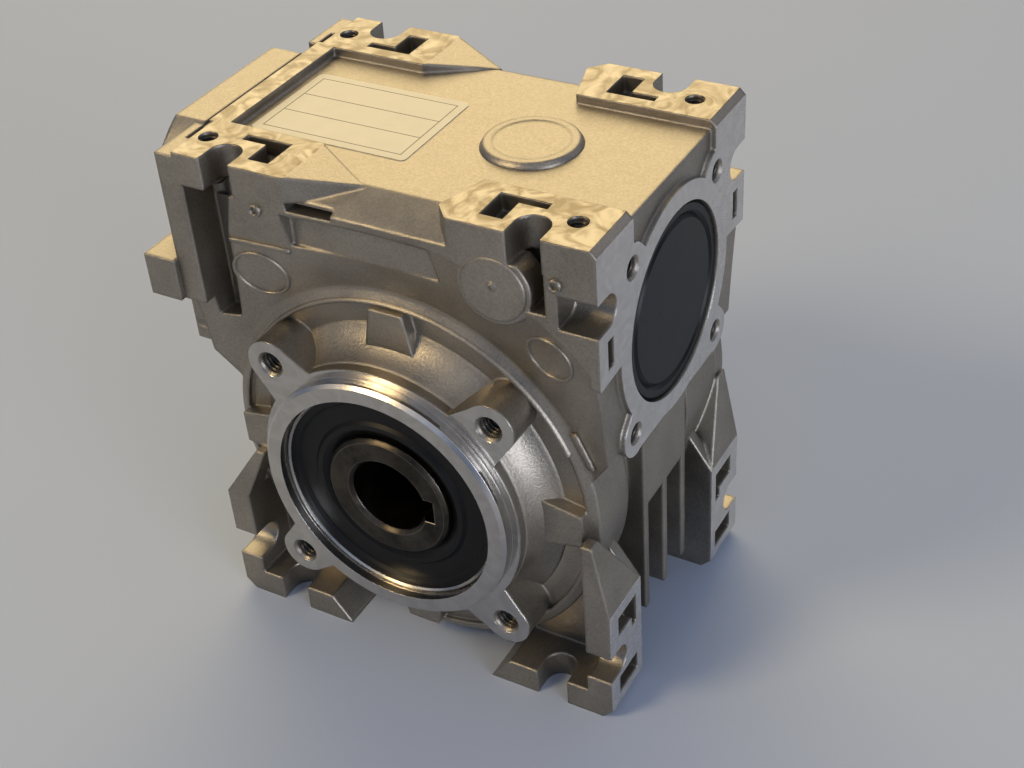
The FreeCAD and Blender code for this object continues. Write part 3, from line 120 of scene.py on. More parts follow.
def cast_aluminium(name, end_face):
    """Die-cast aluminium: a sandy skin with painted shade in its hollows, bright milled and turned
    faces, and pads darkened by oil and painted shade.
    """
    made, tree, shader = new_material(name)
    place = node(tree, "ShaderNodeTexCoord").outputs["Object"]

    # Where the casting was machined, told by height, length and depth
    axes = node(tree, "ShaderNodeSeparateXYZ", {0: place})
    along = node(tree, "ShaderNodeMath", {0: axes.outputs["X"]}, operation="ABSOLUTE")
    depth = node(tree, "ShaderNodeMath", {0: axes.outputs["Y"]}, operation="ABSOLUTE")
    pads = node(tree, "ShaderNodeMath", {0: axes.outputs["Z"], 1: PAD_TOP * MM},
                operation="GREATER_THAN")
    feet = node(tree, "ShaderNodeMath", {0: axes.outputs["Z"], 1: FOOT_FACE * MM},
                operation="LESS_THAN")
    ends = node(tree, "ShaderNodeMath", {0: along.outputs[0], 1: end_face * MM},
                operation="GREATER_THAN")
    bolting = node(tree, "ShaderNodeMath", {0: depth.outputs[0], 1: BOLT_FACE * MM},
                   operation="GREATER_THAN")
    flat = node(tree, "ShaderNodeMath", {0: pads.outputs[0], 1: feet.outputs[0]},
                operation="MAXIMUM")
    turned = node(tree, "ShaderNodeMath", {0: ends.outputs[0], 1: bolting.outputs[0]},
                  operation="MAXIMUM")
    milled = node(tree, "ShaderNodeMath", {0: flat.outputs[0], 1: turned.outputs[0]},
                  operation="MAXIMUM").outputs[0]

    # Colour of the cast skin: clouds, specks and painted shade in the hollows
    grain = node(tree, "ShaderNodeTexNoise",
                 {"Vector": place, "Scale": 1 / (GRAIN * MM), "Detail": 3.0, "Roughness": 0.6})
    blotch = node(tree, "ShaderNodeTexNoise",
                  {"Vector": place, "Scale": 1 / (BLOTCH * MM), "Detail": 4.0, "Roughness": 0.6})
    tone = node(tree, "ShaderNodeMapRange", {
        "Value": blotch.outputs["Fac"],
        "From Min": BLOTCH_SPAN[0], "From Max": BLOTCH_SPAN[1],
        "To Min": BLOTCH_TONE[0], "To Max": BLOTCH_TONE[1]})
    speck = node(tree, "ShaderNodeMapRange", {
        "Value": grain.outputs["Fac"],
        "From Min": GRAIN_SPAN[0], "From Max": GRAIN_SPAN[1],
        "To Min": -GRAIN_SPECK, "To Max": GRAIN_SPECK})
    mottled = node(tree, "ShaderNodeMath", {0: tone.outputs[0], 1: speck.outputs[0]},
                   operation="ADD", use_clamp=True)
    skin = node(tree, "ShaderNodeMix",
                {0: mottled.outputs[0], 6: linear(CAST_DARK), 7: linear(CAST_GREY)},
                data_type="RGBA")
    # Painted shade: the skin's colour is darkened where ambient occlusion finds it enclosed.
    hollow = node(tree, "ShaderNodeAmbientOcclusion", {"Distance": HOLLOW_REACH * MM},
                  samples=SHADE_SAMPLES)
    shade = node(tree, "ShaderNodeMapRange", {
        "Value": hollow.outputs["AO"],
        "From Min": HOLLOW_SPAN[0], "From Max": HOLLOW_SPAN[1],
        "To Min": HOLLOW_SHADE, "To Max": 1.0})
    hollow_shaded = node(tree, "ShaderNodeMix", {0: 1.0, 6: skin.outputs[2], 7: shade.outputs[0]},
                  data_type="RGBA", blend_type="MULTIPLY")

    # Colour of the machined faces: oil wiped over bright metal, most on the pads, which are
    # darkened further as painted shade
    smear = node(tree, "ShaderNodeTexNoise",
                 {"Vector": place, "Scale": 1 / (SMEAR * MM), "Detail": 2.0, "Distortion": 2.4})
    oil_and_painted_shade = node(tree, "ShaderNodeMapRange", {
        "Value": smear.outputs["Fac"],
        "From Min": PAD_SPAN[0], "From Max": PAD_SPAN[1],
        "To Min": PAD_OIL_AND_SHADE[0], "To Max": PAD_OIL_AND_SHADE[1]})
    handled = node(tree, "ShaderNodeMapRange", {
        "Value": smear.outputs["Fac"],
        "From Min": FACE_SPAN[0], "From Max": FACE_SPAN[1],
        "To Min": FACE_OIL[0], "To Max": FACE_OIL[1]})
    # Painted shade: the pads are mixed far towards the dark colour, only partly for oil.
    wear_and_painted_light = node(tree, "ShaderNodeMath",
                {0: flat.outputs[0], 1: oil_and_painted_shade.outputs[0], 2: handled.outputs[0]},
                operation="MULTIPLY_ADD")
    bright = node(tree, "ShaderNodeMix",
                  {0: wear_and_painted_light.outputs[0], 6: linear(MILLED_GREY), 7: linear(MILLED_DARK)},
                  data_type="RGBA")
    faced = node(tree, "ShaderNodeMix", {0: milled, 6: hollow_shaded.outputs[2], 7: bright.outputs[2]},
                 data_type="RGBA")
    tree.links.new(faced.outputs[2], shader.inputs["Base Color"])

    # How metallic and how smooth
    bare = node(tree, "ShaderNodeMix", {0: milled, 2: SKIN_METAL, 3: 1.0})
    chalky = node(tree, "ShaderNodeMath", {0: ends.outputs[0], 1: -END_CHALK, 2: bare.outputs[0]},
                  operation="MULTIPLY_ADD")
    tree.links.new(chalky.outputs[0], shader.inputs["Metallic"])
    rough = node(tree, "ShaderNodeMapRange", {
        "Value": blotch.outputs["Fac"],
        "From Min": BLOTCH_SPAN[0], "From Max": BLOTCH_SPAN[1],
        "To Min": CAST_ROUGH[0], "To Max": CAST_ROUGH[1]})
    polish = node(tree, "ShaderNodeMapRange", {
        "Value": smear.outputs["Fac"], "To Min": MILLED_ROUGH[0], "To Max": MILLED_ROUGH[1]})
    rubbed = node(tree, "ShaderNodeMath",
                  {0: flat.outputs[0], 1: PAD_ROUGH, 2: polish.outputs[0]},
                  operation="MULTIPLY_ADD")
    finish = node(tree, "ShaderNodeMix", {0: milled, 2: rough.outputs[0], 3: rubbed.outputs[0]})
    tree.links.new(finish.outputs[0], shader.inputs["Roughness"])
    streak = node(tree, "ShaderNodeMath", {0: bolting.outputs[0], 1: TURNING},
                  operation="MULTIPLY")
    tree.links.new(streak.outputs[0], shader.inputs["Anisotropic"])
    round_axis = node(tree, "ShaderNodeVectorMath", {0: place, 1: OUTPUT_AXIS},
                      operation="CROSS_PRODUCT")
    tree.links.new(round_axis.outputs["Vector"], shader.inputs["Tangent"])

    # Relief: rounded corners, sandy grain and the cutter's lines
    corner = node(tree, "ShaderNodeMix", {0: milled, 2: CAST_ROUND * MM, 3: MILLED_ROUND * MM})
    rounded = node(tree, "ShaderNodeBevel", {"Radius": corner.outputs[0]}, samples=SHADE_SAMPLES)
    lines = node(tree, "ShaderNodeTexWave",
                 {"Vector": place, "Scale": WAVE_PERIOD / (TOOL_LINE * MM)},
                 wave_type="RINGS", rings_direction="Y")
    texture = node(tree, "ShaderNodeMix",
                   {0: milled, 2: grain.outputs["Fac"], 3: lines.outputs["Fac"]})
    relief = node(tree, "ShaderNodeMix", {0: milled, 2: GRAIN_RELIEF * MM, 3: TOOL_RELIEF * MM})
    bump = node(tree, "ShaderNodeBump",
                {"Strength": 1.0, "Distance": relief.outputs[0], "Height": texture.outputs[0],
                 "Normal": rounded.outputs[0]})
    tree.links.new(bump.outputs[0], shader.inputs["Normal"])
    return made


casting = cast_aluminium("die_cast_aluminium", END_FACE)
dress(["housing", "rear_cover"], casting)

# Cast marks: what the die leaves on the dished front wall. Two bare rings, the
# step line under the left pad, two ejector cups, the disc and pip where the metal
# ran in, and the crest of the bead about the dome with its short tail.
WALL_NEAR = 28.0
WALL_FAR = 34.2
DISH_START = 46.1
DISH_END = 65.0
MARK_SINK = 0.4
MARK_STEPS = 48
RINGS = (((-30.7, 44.0), 5.8), ((37.9, 43.2), 5.3))
RING_WIDTH = 1.1
RING_RISE = 0.45
STEP_LINE = ((-34.6, 53.4), (-21.2, 52.2))
STEP_WIDTH = 1.2
STEP_RISE = 0.5
BEAD_TAIL = ((40.4, 23.6), (44.4, 15.4))
TAIL_WIDTH = 2.2
TAIL_RISE = 0.9
BAR_BEVEL = 0.45
BAR_CUTS = 5
CUPS = ((-26.1, 62.4), (41.3, 62.3))
CUP_RADIUS = 1.15
CUP_WIDTH = 0.8
CUP_RISE = 0.7
PIP = (27.8, 58.6)
PIP_RADIUS = 0.6
PIP_RISE = 0.6
GATE = (27.9, 57.8)
GATE_RADIUS = 7.0
GATE_FACE = 34.34
GATE_EDGE = 0.14
GATE_STEPS = 64
# The bead's crest in section: distance from the shaft's axis, and height
CREST = ((42.6, 28.6), (42.8, 29.4), (43.2, 29.75), (43.6, 29.45), (44.1, 28.4))
CREST_START = math.radians(24)
CREST_SWEEP = math.radians(128)
CREST_STEPS = 72
FULL_TURN = 2 * math.pi
SHARP_ANGLE = math.radians(35)
SAME_PLACE = 0.001


def finish_piece(name, mesh, material, smooth=True):
    """Makes an object of a bmesh drawn in millimetres and sets it on the case."""
    bmesh.ops.recalc_face_normals(mesh, faces=mesh.faces)
    for edge in mesh.edges:
        edge.smooth = edge.calc_face_angle(0.0) < SHARP_ANGLE
    bmesh.ops.scale(mesh, verts=mesh.verts, vec=(MM, MM, MM))
    data = bpy.data.meshes.new(name)
    mesh.to_mesh(data)
    mesh.free()
    data.materials.append(material)
    for face in data.polygons:
        face.use_smooth = smooth
    made = bpy.data.objects.new(name, data)
    bpy.context.scene.collection.objects.link(made)
    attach(made, "case")


def turn_outline(mesh, outline, centre, axis, steps, angle=FULL_TURN, closed=True):
    """Spins an outline about an axis through a centre, all round or through an angle."""
    points = [mesh.verts.new(place) for place in outline]
    after = points[1:] + points[:1] if closed else points[1:]
    edges = [mesh.edges.new(pair) for pair in zip(points, after)]
    bmesh.ops.spin(mesh, geom=points + edges, cent=centre, axis=axis, angle=angle, steps=steps,
                   use_merge=angle == FULL_TURN)


def raised_ring(mesh, centre, radius, width, rise):
    """A low ring with sloped sides: its profile spun about its centre."""
    x, z = centre
    inner = radius - width / 2
    outer = radius + width / 2
    profile = ((inner, -MARK_SINK), (inner + width / 4, rise),
               (outer - width / 4, rise), (outer, -MARK_SINK))
    turn_outline(mesh, [(x + along, -height, z) for along, height in profile],
                 (x, 0, z), OUTPUT_AXIS, MARK_STEPS)


def raised_bar(mesh, start, end, width, rise):
    """A low bar with rounded edges, cut across so that it can follow the wall."""
    start = Vector((start[0], 0, start[1]))
    end = Vector((end[0], 0, end[1]))
    made = bmesh.ops.create_cube(mesh, size=1.0)["verts"]
    bmesh.ops.scale(mesh, verts=made, vec=((end - start).length, rise + MARK_SINK, width))
    edges = [edge for edge in mesh.edges if edge.verts[0] in made]
    made = bmesh.ops.bevel(mesh, geom=edges, offset=BAR_BEVEL * min(rise, width), affect="EDGES",
                           segments=2, profile=0.5, material=-1)["verts"]
    turn = Vector((1, 0, 0)).rotation_difference(end - start).to_matrix()
    bmesh.ops.rotate(mesh, verts=made, cent=(0, 0, 0), matrix=turn)
    lift = Vector((0, (rise - MARK_SINK) / 2, 0))
    bmesh.ops.translate(mesh, verts=made, vec=(start + end) / 2 - lift)
    edges = [edge for edge in mesh.edges if edge.verts[0] in made]
    long_edges = [edge for edge in edges if edge.calc_length() > 2 * width]
    bmesh.ops.subdivide_edges(mesh, edges=long_edges, cuts=BAR_CUTS)


def lay_on_wall(mesh):
    """Moves flat-drawn marks out on to the dished front wall."""
    for vert in mesh.verts:
        share = (math.hypot(vert.co.x, vert.co.z) - DISH_START) / (DISH_END - DISH_START)
        vert.co.y -= WALL_NEAR + min(max(share, 0.0), 1.0) * (WALL_FAR - WALL_NEAR)


marks = bmesh.new()
for centre, radius in RINGS:
    raised_ring(marks, centre, radius, RING_WIDTH, RING_RISE)
raised_bar(marks, *STEP_LINE, STEP_WIDTH, STEP_RISE)
raised_bar(marks, *BEAD_TAIL, TAIL_WIDTH, TAIL_RISE)
for centre in CUPS:
    raised_ring(marks, centre, CUP_RADIUS, CUP_WIDTH, CUP_RISE)
raised_ring(marks, PIP, PIP_RADIUS, PIP_RADIUS, PIP_RISE)
lay_on_wall(marks)
disc = [(0.0, WALL_NEAR), (GATE_RADIUS, WALL_NEAR), (GATE_RADIUS, GATE_FACE - GATE_EDGE),
        (GATE_RADIUS - GATE_EDGE, GATE_FACE), (0.0, GATE_FACE)]
turn_outline(marks, [(GATE[0] + along, -height, GATE[1]) for along, height in disc],
             (GATE[0], 0, GATE[1]), OUTPUT_AXIS, GATE_STEPS, closed=False)
crest = [(along * math.cos(CREST_START), -height, along * math.sin(CREST_START))
         for along, height in CREST]
turn_outline(marks, crest, (0, 0, 0), (0, -1, 0), CREST_STEPS, angle=CREST_SWEEP)
open_edges = [edge for edge in marks.edges if edge.is_boundary]
bmesh.ops.holes_fill(marks, edges=open_edges, sides=len(CREST))
bmesh.ops.remove_doubles(marks, verts=marks.verts, dist=SAME_PLACE)
finish_piece("cast_marks", marks, casting)

# Neck fillet: the wide slope, slightly hollow, by which the die runs the flange's
# neck out into the floor of the dome. Part of the casting, drawn as one turned ring.
NECK = 31.85
DOME_FLOOR = 28.0
FILLET_UP = 7.4
FILLET_OUT = 6.0
FILLET_HOLLOW = 0.45
FILLET_STEPS = 12
RIM_STEPS = 120
QUARTER_TURN = math.pi / 2
neck = bmesh.new()
outline = [(NECK - MARK_SINK, DOME_FLOOR + FILLET_UP), (NECK - MARK_SINK, DOME_FLOOR - MARK_SINK),
           (NECK + FILLET_OUT, DOME_FLOOR - MARK_SINK)]
for i in range(FILLET_STEPS + 1):
    share = i / FILLET_STEPS
    turn = QUARTER_TURN * share
    out = FILLET_HOLLOW * (1 - math.sin(turn)) + (1 - FILLET_HOLLOW) * (1 - share)
    up = FILLET_HOLLOW * (1 - math.cos(turn)) + (1 - FILLET_HOLLOW) * share
    outline.append((NECK + FILLET_OUT * out, DOME_FLOOR + FILLET_UP * up))
turn_outline(neck, [(along, -height, 0.0) for along, height in outline],
             (0, 0, 0), OUTPUT_AXIS, RIM_STEPS)
finish_piece("neck_fillet", neck, casting)

# Boss face: the skin of the round boss on the top of the casting, with its
# drafted side, rounded rim and the thin line about its flat. Part of the casting.
BOSS_PLACE = 18.5
BOSS_RADIUS = 10.0
BOSS_TOP = 70.43
BOSS_ROOT = 69.0
BOSS_DRAFT = 0.75
BOSS_EDGE = 0.35
BOSS_FLAT = 7.9
BOSS_STEP = 0.2
BOSS_STEPS = 64
boss = bmesh.new()
outline = [(0.0, BOSS_ROOT), (BOSS_RADIUS + BOSS_DRAFT, BOSS_ROOT),
           (BOSS_RADIUS, BOSS_TOP - BOSS_EDGE), (BOSS_RADIUS - BOSS_EDGE, BOSS_TOP),
           (BOSS_FLAT + BOSS_STEP, BOSS_TOP), (BOSS_FLAT, BOSS_TOP - BOSS_STEP),
           (0.0, BOSS_TOP - BOSS_STEP)]
turn_outline(boss, [(BOSS_PLACE + along, 0.0, height) for along, height in outline],
             (BOSS_PLACE, 0, 0), (0, 0, 1), BOSS_STEPS, closed=False)
bmesh.ops.remove_doubles(boss, verts=boss.verts, dist=SAME_PLACE)
finish_piece("boss_face", boss, casting)

# Label: a printed polyester label stuck on the flat top of the casting, an
# empty form of a ruled frame and ruled lines, with its corners cut round.
LABEL_X = (-39.5, -1.7)
LABEL_Y = (-16.0, 10.4)
LABEL_Z = 69.2
LABEL_THICK = 0.15
LABEL_CORNER = 1.2
LABEL_MARGIN = 2.0
LABEL_ROWS = 3
LABEL_CREAM = "#cac1a7"
LABEL_INK = "#4a4031"
LABEL_ROUGH = 0.42
LABEL_MOTTLE = 5.0
LABEL_FADE = (0.9, 1.05)
RULE = 0.28
RULE_BLUR = 0.2
label_size = (LABEL_X[1] - LABEL_X[0], LABEL_Y[1] - LABEL_Y[0])
label_middle = (sum(LABEL_X) / 2, sum(LABEL_Y) / 2)


def printed_label():
    """Printed polyester: satin cream, faintly mottled, with a ruled frame and ruled lines."""
    made, tree, shader = new_material("printed_polyester")
    place = node(tree, "ShaderNodeTexCoord").outputs["Object"]
    wide = label_size[0] - 2 * LABEL_MARGIN
    tall = label_size[1] - 2 * LABEL_MARGIN
    to_corner = (-(LABEL_X[0] + LABEL_MARGIN) * MM, -(LABEL_Y[0] + LABEL_MARGIN) * MM, 0.0)
    corner = node(tree, "ShaderNodeMapping", {"Vector": place, "Location": to_corner})
    ruled = node(tree, "ShaderNodeTexBrick",
                 {"Vector": corner.outputs[0], "Color1": linear(LABEL_CREAM),
                  "Color2": linear(LABEL_CREAM), "Mortar": linear(LABEL_INK), "Scale": 1.0,
                  "Mortar Size": RULE / 2 * MM, "Mortar Smooth": RULE_BLUR,
                  "Brick Width": wide * MM, "Row Height": tall / LABEL_ROWS * MM},
                 offset=0.0, squash=1.0)

    # The rules end at the frame
    middle = (label_middle[0] * MM, label_middle[1] * MM, LABEL_Z * MM)
    from_middle = node(tree, "ShaderNodeVectorMath", {0: place, 1: middle}, operation="SUBTRACT")
    aside = node(tree, "ShaderNodeVectorMath", {0: from_middle.outputs[0]}, operation="ABSOLUTE")
    sides = node(tree, "ShaderNodeSeparateXYZ", {0: aside.outputs[0]})
    within = node(tree, "ShaderNodeMath", {0: sides.outputs["X"], 1: (wide + RULE) / 2 * MM},
                  operation="LESS_THAN")
    inside = node(tree, "ShaderNodeMath", {0: sides.outputs["Y"], 1: (tall + RULE) / 2 * MM},
                  operation="LESS_THAN")
    framed = node(tree, "ShaderNodeMath", {0: within.outputs[0], 1: inside.outputs[0]},
                  operation="MULTIPLY")
    form = node(tree, "ShaderNodeMix",
                {0: framed.outputs[0], 6: linear(LABEL_CREAM), 7: ruled.outputs["Color"]},
                data_type="RGBA")
    mottle = node(tree, "ShaderNodeTexNoise",
                  {"Vector": place, "Scale": 1 / (LABEL_MOTTLE * MM), "Detail": 3.0})
    fade = node(tree, "ShaderNodeMapRange", {
        "Value": mottle.outputs["Fac"], "To Min": LABEL_FADE[0], "To Max": LABEL_FADE[1]})
    tint = node(tree, "ShaderNodeMix", {0: 1.0, 6: form.outputs[2], 7: fade.outputs[0]},
                data_type="RGBA", blend_type="MULTIPLY")
    tree.links.new(tint.outputs[2], shader.inputs["Base Color"])
    shader.inputs["Roughness"].default_value = LABEL_ROUGH
    return made


label = bmesh.new()
bmesh.ops.create_cube(label, size=1.0)
bmesh.ops.scale(label, verts=label.verts, vec=(label_size[0], label_size[1], LABEL_THICK))
bmesh.ops.translate(label, verts=label.verts,
                    vec=(label_middle[0], label_middle[1], LABEL_Z + LABEL_THICK / 2))
upright = [edge for edge in label.edges
           if abs(edge.verts[0].co.z - edge.verts[1].co.z) > LABEL_THICK / 2]
bmesh.ops.bevel(label, geom=upright, offset=LABEL_CORNER, affect="EDGES", segments=5,
                profile=0.5, material=-1)
finish_piece("label", label, printed_label(), smooth=False)

# Rubber pieces: the moulded closing cap, the shaft seals and the cover's ring,
# all black nitrile rubber with a faint bloom, pressed into their bores.
SEAL_BLACK = "#080808"
SEAL_BLOOM = "#141413"
CAP_BLACK = "#0f0f10"
CAP_BLOOM = "#1d1d1f"
DUST = 9.0
DUST_SPAN = (0.4, 0.75)
DUST_SHARE = 0.6
MOULD_ROUGH = (0.3, 0.46)
MOULD_SHINE = 0.2
MOULD_GRAIN = 0.6
MOULD_RELIEF = 0.03


def moulded_skin(name, dark, bloom):
    """Moulded rubber or plastic: a soft sheen, a dusty bloom and a grain coarse enough to show."""
    made, tree, shader = new_material(name)
    place = node(tree, "ShaderNodeTexCoord").outputs["Object"]
    dust = node(tree, "ShaderNodeTexNoise",
                {"Vector": place, "Scale": 1 / (DUST * MM), "Detail": 6.0, "Roughness": 0.7})
    spread = node(tree, "ShaderNodeMapRange", {
        "Value": dust.outputs["Fac"], "From Min": DUST_SPAN[0], "From Max": DUST_SPAN[1],
        "To Min": 0.0, "To Max": DUST_SHARE})
    tint = node(tree, "ShaderNodeMix", {0: spread.outputs[0], 6: linear(dark), 7: linear(bloom)},
                data_type="RGBA")
    tree.links.new(tint.outputs[2], shader.inputs["Base Color"])
    rough = node(tree, "ShaderNodeMapRange", {
        "Value": dust.outputs["Fac"], "To Min": MOULD_ROUGH[0], "To Max": MOULD_ROUGH[1]})
    tree.links.new(rough.outputs[0], shader.inputs["Roughness"])
    shader.inputs["Specular IOR Level"].default_value = MOULD_SHINE
    skin = node(tree, "ShaderNodeTexNoise",
                {"Vector": place, "Scale": 1 / (MOULD_GRAIN * MM), "Detail": 2.0})
    bump = node(tree, "ShaderNodeBump",
                {"Strength": 0.5, "Distance": MOULD_RELIEF * MM, "Height": skin.outputs["Fac"]})
    tree.links.new(bump.outputs[0], shader.inputs["Normal"])
    return made


dress(["front_output_seal", "rear_output_seal", "input_seal", "rear_cover_o_ring"],
      moulded_skin("seal_rubber", SEAL_BLACK, SEAL_BLOOM))
dress(["end_cap"], moulded_skin("cap_rubber", CAP_BLACK, CAP_BLOOM))

# Seal cases: the bright pressed rim of each output seal's steel case, which
# shows as a thin line between the bored wall and the black rubber.
CASE_RIM = 25.95
CASE_WALL = 0.9
CASE_FACE = 38.0
CASE_RISE = 0.7
CASE_BEVEL = 0.35
CASE_DULL = "#8d8a84"
CASE_BRIGHT = "#c3c0ba"
CASE_CLOUD = 4.0
CASE_ROUGH = (0.2, 0.34)


def pressed_steel():
    """Drawn sheet steel: bright and smooth, with faint clouds."""
    made, tree, shader = new_material("pressed_steel")
    place = node(tree, "ShaderNodeTexCoord").outputs["Object"]
    cloud = node(tree, "ShaderNodeTexNoise",
                 {"Vector": place, "Scale": 1 / (CASE_CLOUD * MM), "Detail": 4.0})
    tint = node(tree, "ShaderNodeMix",
                {0: cloud.outputs["Fac"], 6: linear(CASE_DULL), 7: linear(CASE_BRIGHT)},
                data_type="RGBA")
    tree.links.new(tint.outputs[2], shader.inputs["Base Color"])
    shader.inputs["Metallic"].default_value = 1.0
    rough = node(tree, "ShaderNodeMapRange", {
        "Value": cloud.outputs["Fac"], "To Min": CASE_ROUGH[0], "To Max": CASE_ROUGH[1]})
    tree.links.new(rough.outputs[0], shader.inputs["Roughness"])
    return made


cases = bmesh.new()
for side in (1, -1):
    inner = CASE_RIM - CASE_WALL
    face = CASE_FACE + CASE_RISE
    outline = [(CASE_RIM, CASE_FACE - CASE_RISE), (CASE_RIM, face - CASE_BEVEL),
               (CASE_RIM - CASE_BEVEL, face), (inner + CASE_BEVEL, face),
               (inner, face - CASE_BEVEL), (inner, CASE_FACE - CASE_RISE)]
    turn_outline(cases, [(along, side * height, 0.0) for along, height in outline],
                 (0, 0, 0), OUTPUT_AXIS, RIM_STEPS)
finish_piece("seal_cases", cases, pressed_steel())

# Steel shafts: the hollow output shaft is turned steel browned by its heat
# treatment and oil, with bright bevels, partly painted highlight; the worm is
# hardened and ground. Their turning lines are drawn coarser than real ones so that they show.
SHAFT_BROWN = "#2e2a24"
SHAFT_BRIGHT = "#a39a8d"
SHAFT_LINE = 0.94
WORM_GREY = "#8f9092"
WORM_BRIGHT = "#c4c5c7"
WORM_LINE = 0.57
WORM_HEIGHT = 40.0
OUTPUT_CENTRE = (0.0, 0.0, 0.0)
WORM_CENTRE = (0.0, 0.0, WORM_HEIGHT)
STAIN = 6.0
STAIN_SPAN = (0.35, 0.8)
STAIN_SHARE = 0.2
EDGE_ROUND = 0.5
# Painted highlight along edges: how far the lightening reaches from each edge.
EDGE_SPAN = (0.98, 0.8)
EDGE_SAMPLES = 6
TURNED_ROUGH = (0.24, 0.42)
TURNED_RELIEF = 0.01


def turned_metal(name, dark, bright, axis, centre, line):
    """Turned metal: fine rings round its axis, oil stains, and edges lightened, partly as painted
    highlight and partly as bright wear.
    """
    made, tree, shader = new_material(name)
    place = node(tree, "ShaderNodeTexCoord").outputs["Object"]
    to_axis = [-distance * MM for distance in centre]
    middle = node(tree, "ShaderNodeMapping", {"Vector": place, "Location": to_axis})
    rings = node(tree, "ShaderNodeTexWave",
                 {"Vector": middle.outputs[0], "Scale": WAVE_PERIOD / (line * MM)},
                 wave_type="RINGS", rings_direction=axis)
    stain = node(tree, "ShaderNodeTexNoise",
                 {"Vector": place, "Scale": 1 / (STAIN * MM), "Detail": 5.0, "Roughness": 0.65})
    rounded = node(tree, "ShaderNodeBevel", {"Radius": EDGE_ROUND * MM}, samples=EDGE_SAMPLES)
    # Painted highlight: edges, where the rounded normal bends away from the face, are lightened,
    # partly standing for bright worn bevels.
    facing = node(tree, "ShaderNodeNewGeometry").outputs["Normal"]
    bend = node(tree, "ShaderNodeVectorMath", {0: rounded.outputs[0], 1: facing},
                operation="DOT_PRODUCT")
    wear_and_painted_light = node(tree, "ShaderNodeMapRange", {
        "Value": bend.outputs["Value"], "From Min": EDGE_SPAN[0], "From Max": EDGE_SPAN[1],
        "To Min": 0.0, "To Max": 1.0})
    spread = node(tree, "ShaderNodeMapRange", {
        "Value": stain.outputs["Fac"], "From Min": STAIN_SPAN[0], "From Max": STAIN_SPAN[1],
        "To Min": 0.0, "To Max": STAIN_SHARE})
    stain_and_edge_highlight = node(tree, "ShaderNodeMath", {0: wear_and_painted_light.outputs[0], 1: spread.outputs[0]},
                   operation="MAXIMUM")
    tint = node(tree, "ShaderNodeMix",
                {0: stain_and_edge_highlight.outputs[0], 6: linear(dark), 7: linear(bright)}, data_type="RGBA")
    tree.links.new(tint.outputs[2], shader.inputs["Base Color"])
    shader.inputs["Metallic"].default_value = 1.0
    rough = node(tree, "ShaderNodeMapRange", {
        "Value": stain.outputs["Fac"], "To Min": TURNED_ROUGH[0], "To Max": TURNED_ROUGH[1]})
    tree.links.new(rough.outputs[0], shader.inputs["Roughness"])
    bump = node(tree, "ShaderNodeBump",
                {"Strength": 0.6, "Distance": TURNED_RELIEF * MM, "Height": rings.outputs["Fac"],
                 "Normal": rounded.outputs[0]})
    tree.links.new(bump.outputs[0], shader.inputs["Normal"])
    return made


browned = turned_metal("browned_steel", SHAFT_BROWN, SHAFT_BRIGHT, "Y", OUTPUT_CENTRE, SHAFT_LINE)
dress(["output_hollow_shaft"], browned)
dress(["worm_shaft"],
      turned_metal("ground_steel", WORM_GREY, WORM_BRIGHT, "X", WORM_CENTRE, WORM_LINE))

# Worm wheel rim: a cast bronze ring shrunk on the output shaft's hub, then
# turned and hobbed, so its tooth flanks are bright.
BRONZE_DARK = "#8a6430"
BRONZE_BRIGHT = "#d0a55c"
BRONZE_LINE = 1.13
dress(["worm_wheel_rim"],
      turned_metal("hobbed_bronze", BRONZE_DARK, BRONZE_BRIGHT, "Y", OUTPUT_CENTRE, BRONZE_LINE))

# Ball bearings: ground bearing steel rings and balls, with moulded polyamide
# cages; the spring rings that hold the worm bearings are phosphated.
BEARINGS = ("front_output_bearing", "rear_output_bearing", "end_worm_bearing",
            "input_worm_bearing")
STEEL_PARTS = ("outer_ring", "inner_ring", "balls")
RACE_GREY = "#a9aaac"
RACE_BRIGHT = "#d9dadb"
RACE_LINE = 0.47
CAGE_CREAM = "#c9c0a6"
CAGE_PALE = "#ded7c2"
CLIP_BLACK = "#2f2f31"
CLIP_BRIGHT = "#6d6d70"
CLIP_LINE = 0.75
ground = turned_metal("bearing_steel", RACE_GREY, RACE_BRIGHT, "Y", OUTPUT_CENTRE, RACE_LINE)
dress([f"{bearing}_{part}" for bearing in BEARINGS for part in STEEL_PARTS], ground)
dress([f"{bearing}_cage" for bearing in BEARINGS],
      moulded_skin("cage_polyamide", CAGE_CREAM, CAGE_PALE))
dress(["end_circlip", "input_circlip"],
      turned_metal("phosphated_steel", CLIP_BLACK, CLIP_BRIGHT, "X", WORM_CENTRE, CLIP_LINE))

# Input flange: a second aluminium casting for the motor side, faced on its
# outer side, on four black oxide socket screws; the cover has eight more.
FLANGE_FACE = 57.9
OXIDE_BLACK = "#1c1c1e"
OXIDE_BRIGHT = "#56565a"
SCREW_LINE = 0.75
dress(["input_flange"], cast_aluminium("flange_aluminium", FLANGE_FACE))
dress(["rear_cover_screws", "input_flange_screws"],
      turned_metal("black_oxide_steel", OXIDE_BLACK, OXIDE_BRIGHT, "Y", OUTPUT_CENTRE, SCREW_LINE))

# Threads: cut into the bolt holes of the casting and its cover. Each is drawn as
# one ridge that winds into its hole, a little deeper than real so that it shows.
BOLT_CIRCLE = 37.5
END_CIRCLE = 27.9
PAD_HOLE = (42.3, 25.9)
FRONT_MOUTH = -36.9
REAR_MOUTH = 37.2
END_MOUTH = 49.3
PAD_MOUTH = 71.2
COARSE_PITCH = 1.0
FINE_PITCH = 0.8
FRONT_RADIUS = 2.5
REAR_RADIUS = 3.0
SMALL_RADIUS = 2.1
FRONT_TURNS = 10
REAR_TURNS = 6
END_TURNS = 10
PAD_TURNS = 12
THREAD_STEPS = 24
THREAD_BITE = 0.05
THREAD_HEIGHT = 0.45
THREAD_WIDTH = 0.84
CUT_DULL = "#4b4843"
CUT_BRIGHT = "#8d8982"
CUT_LINE = 0.75
DIAGONAL = math.sqrt(0.5)


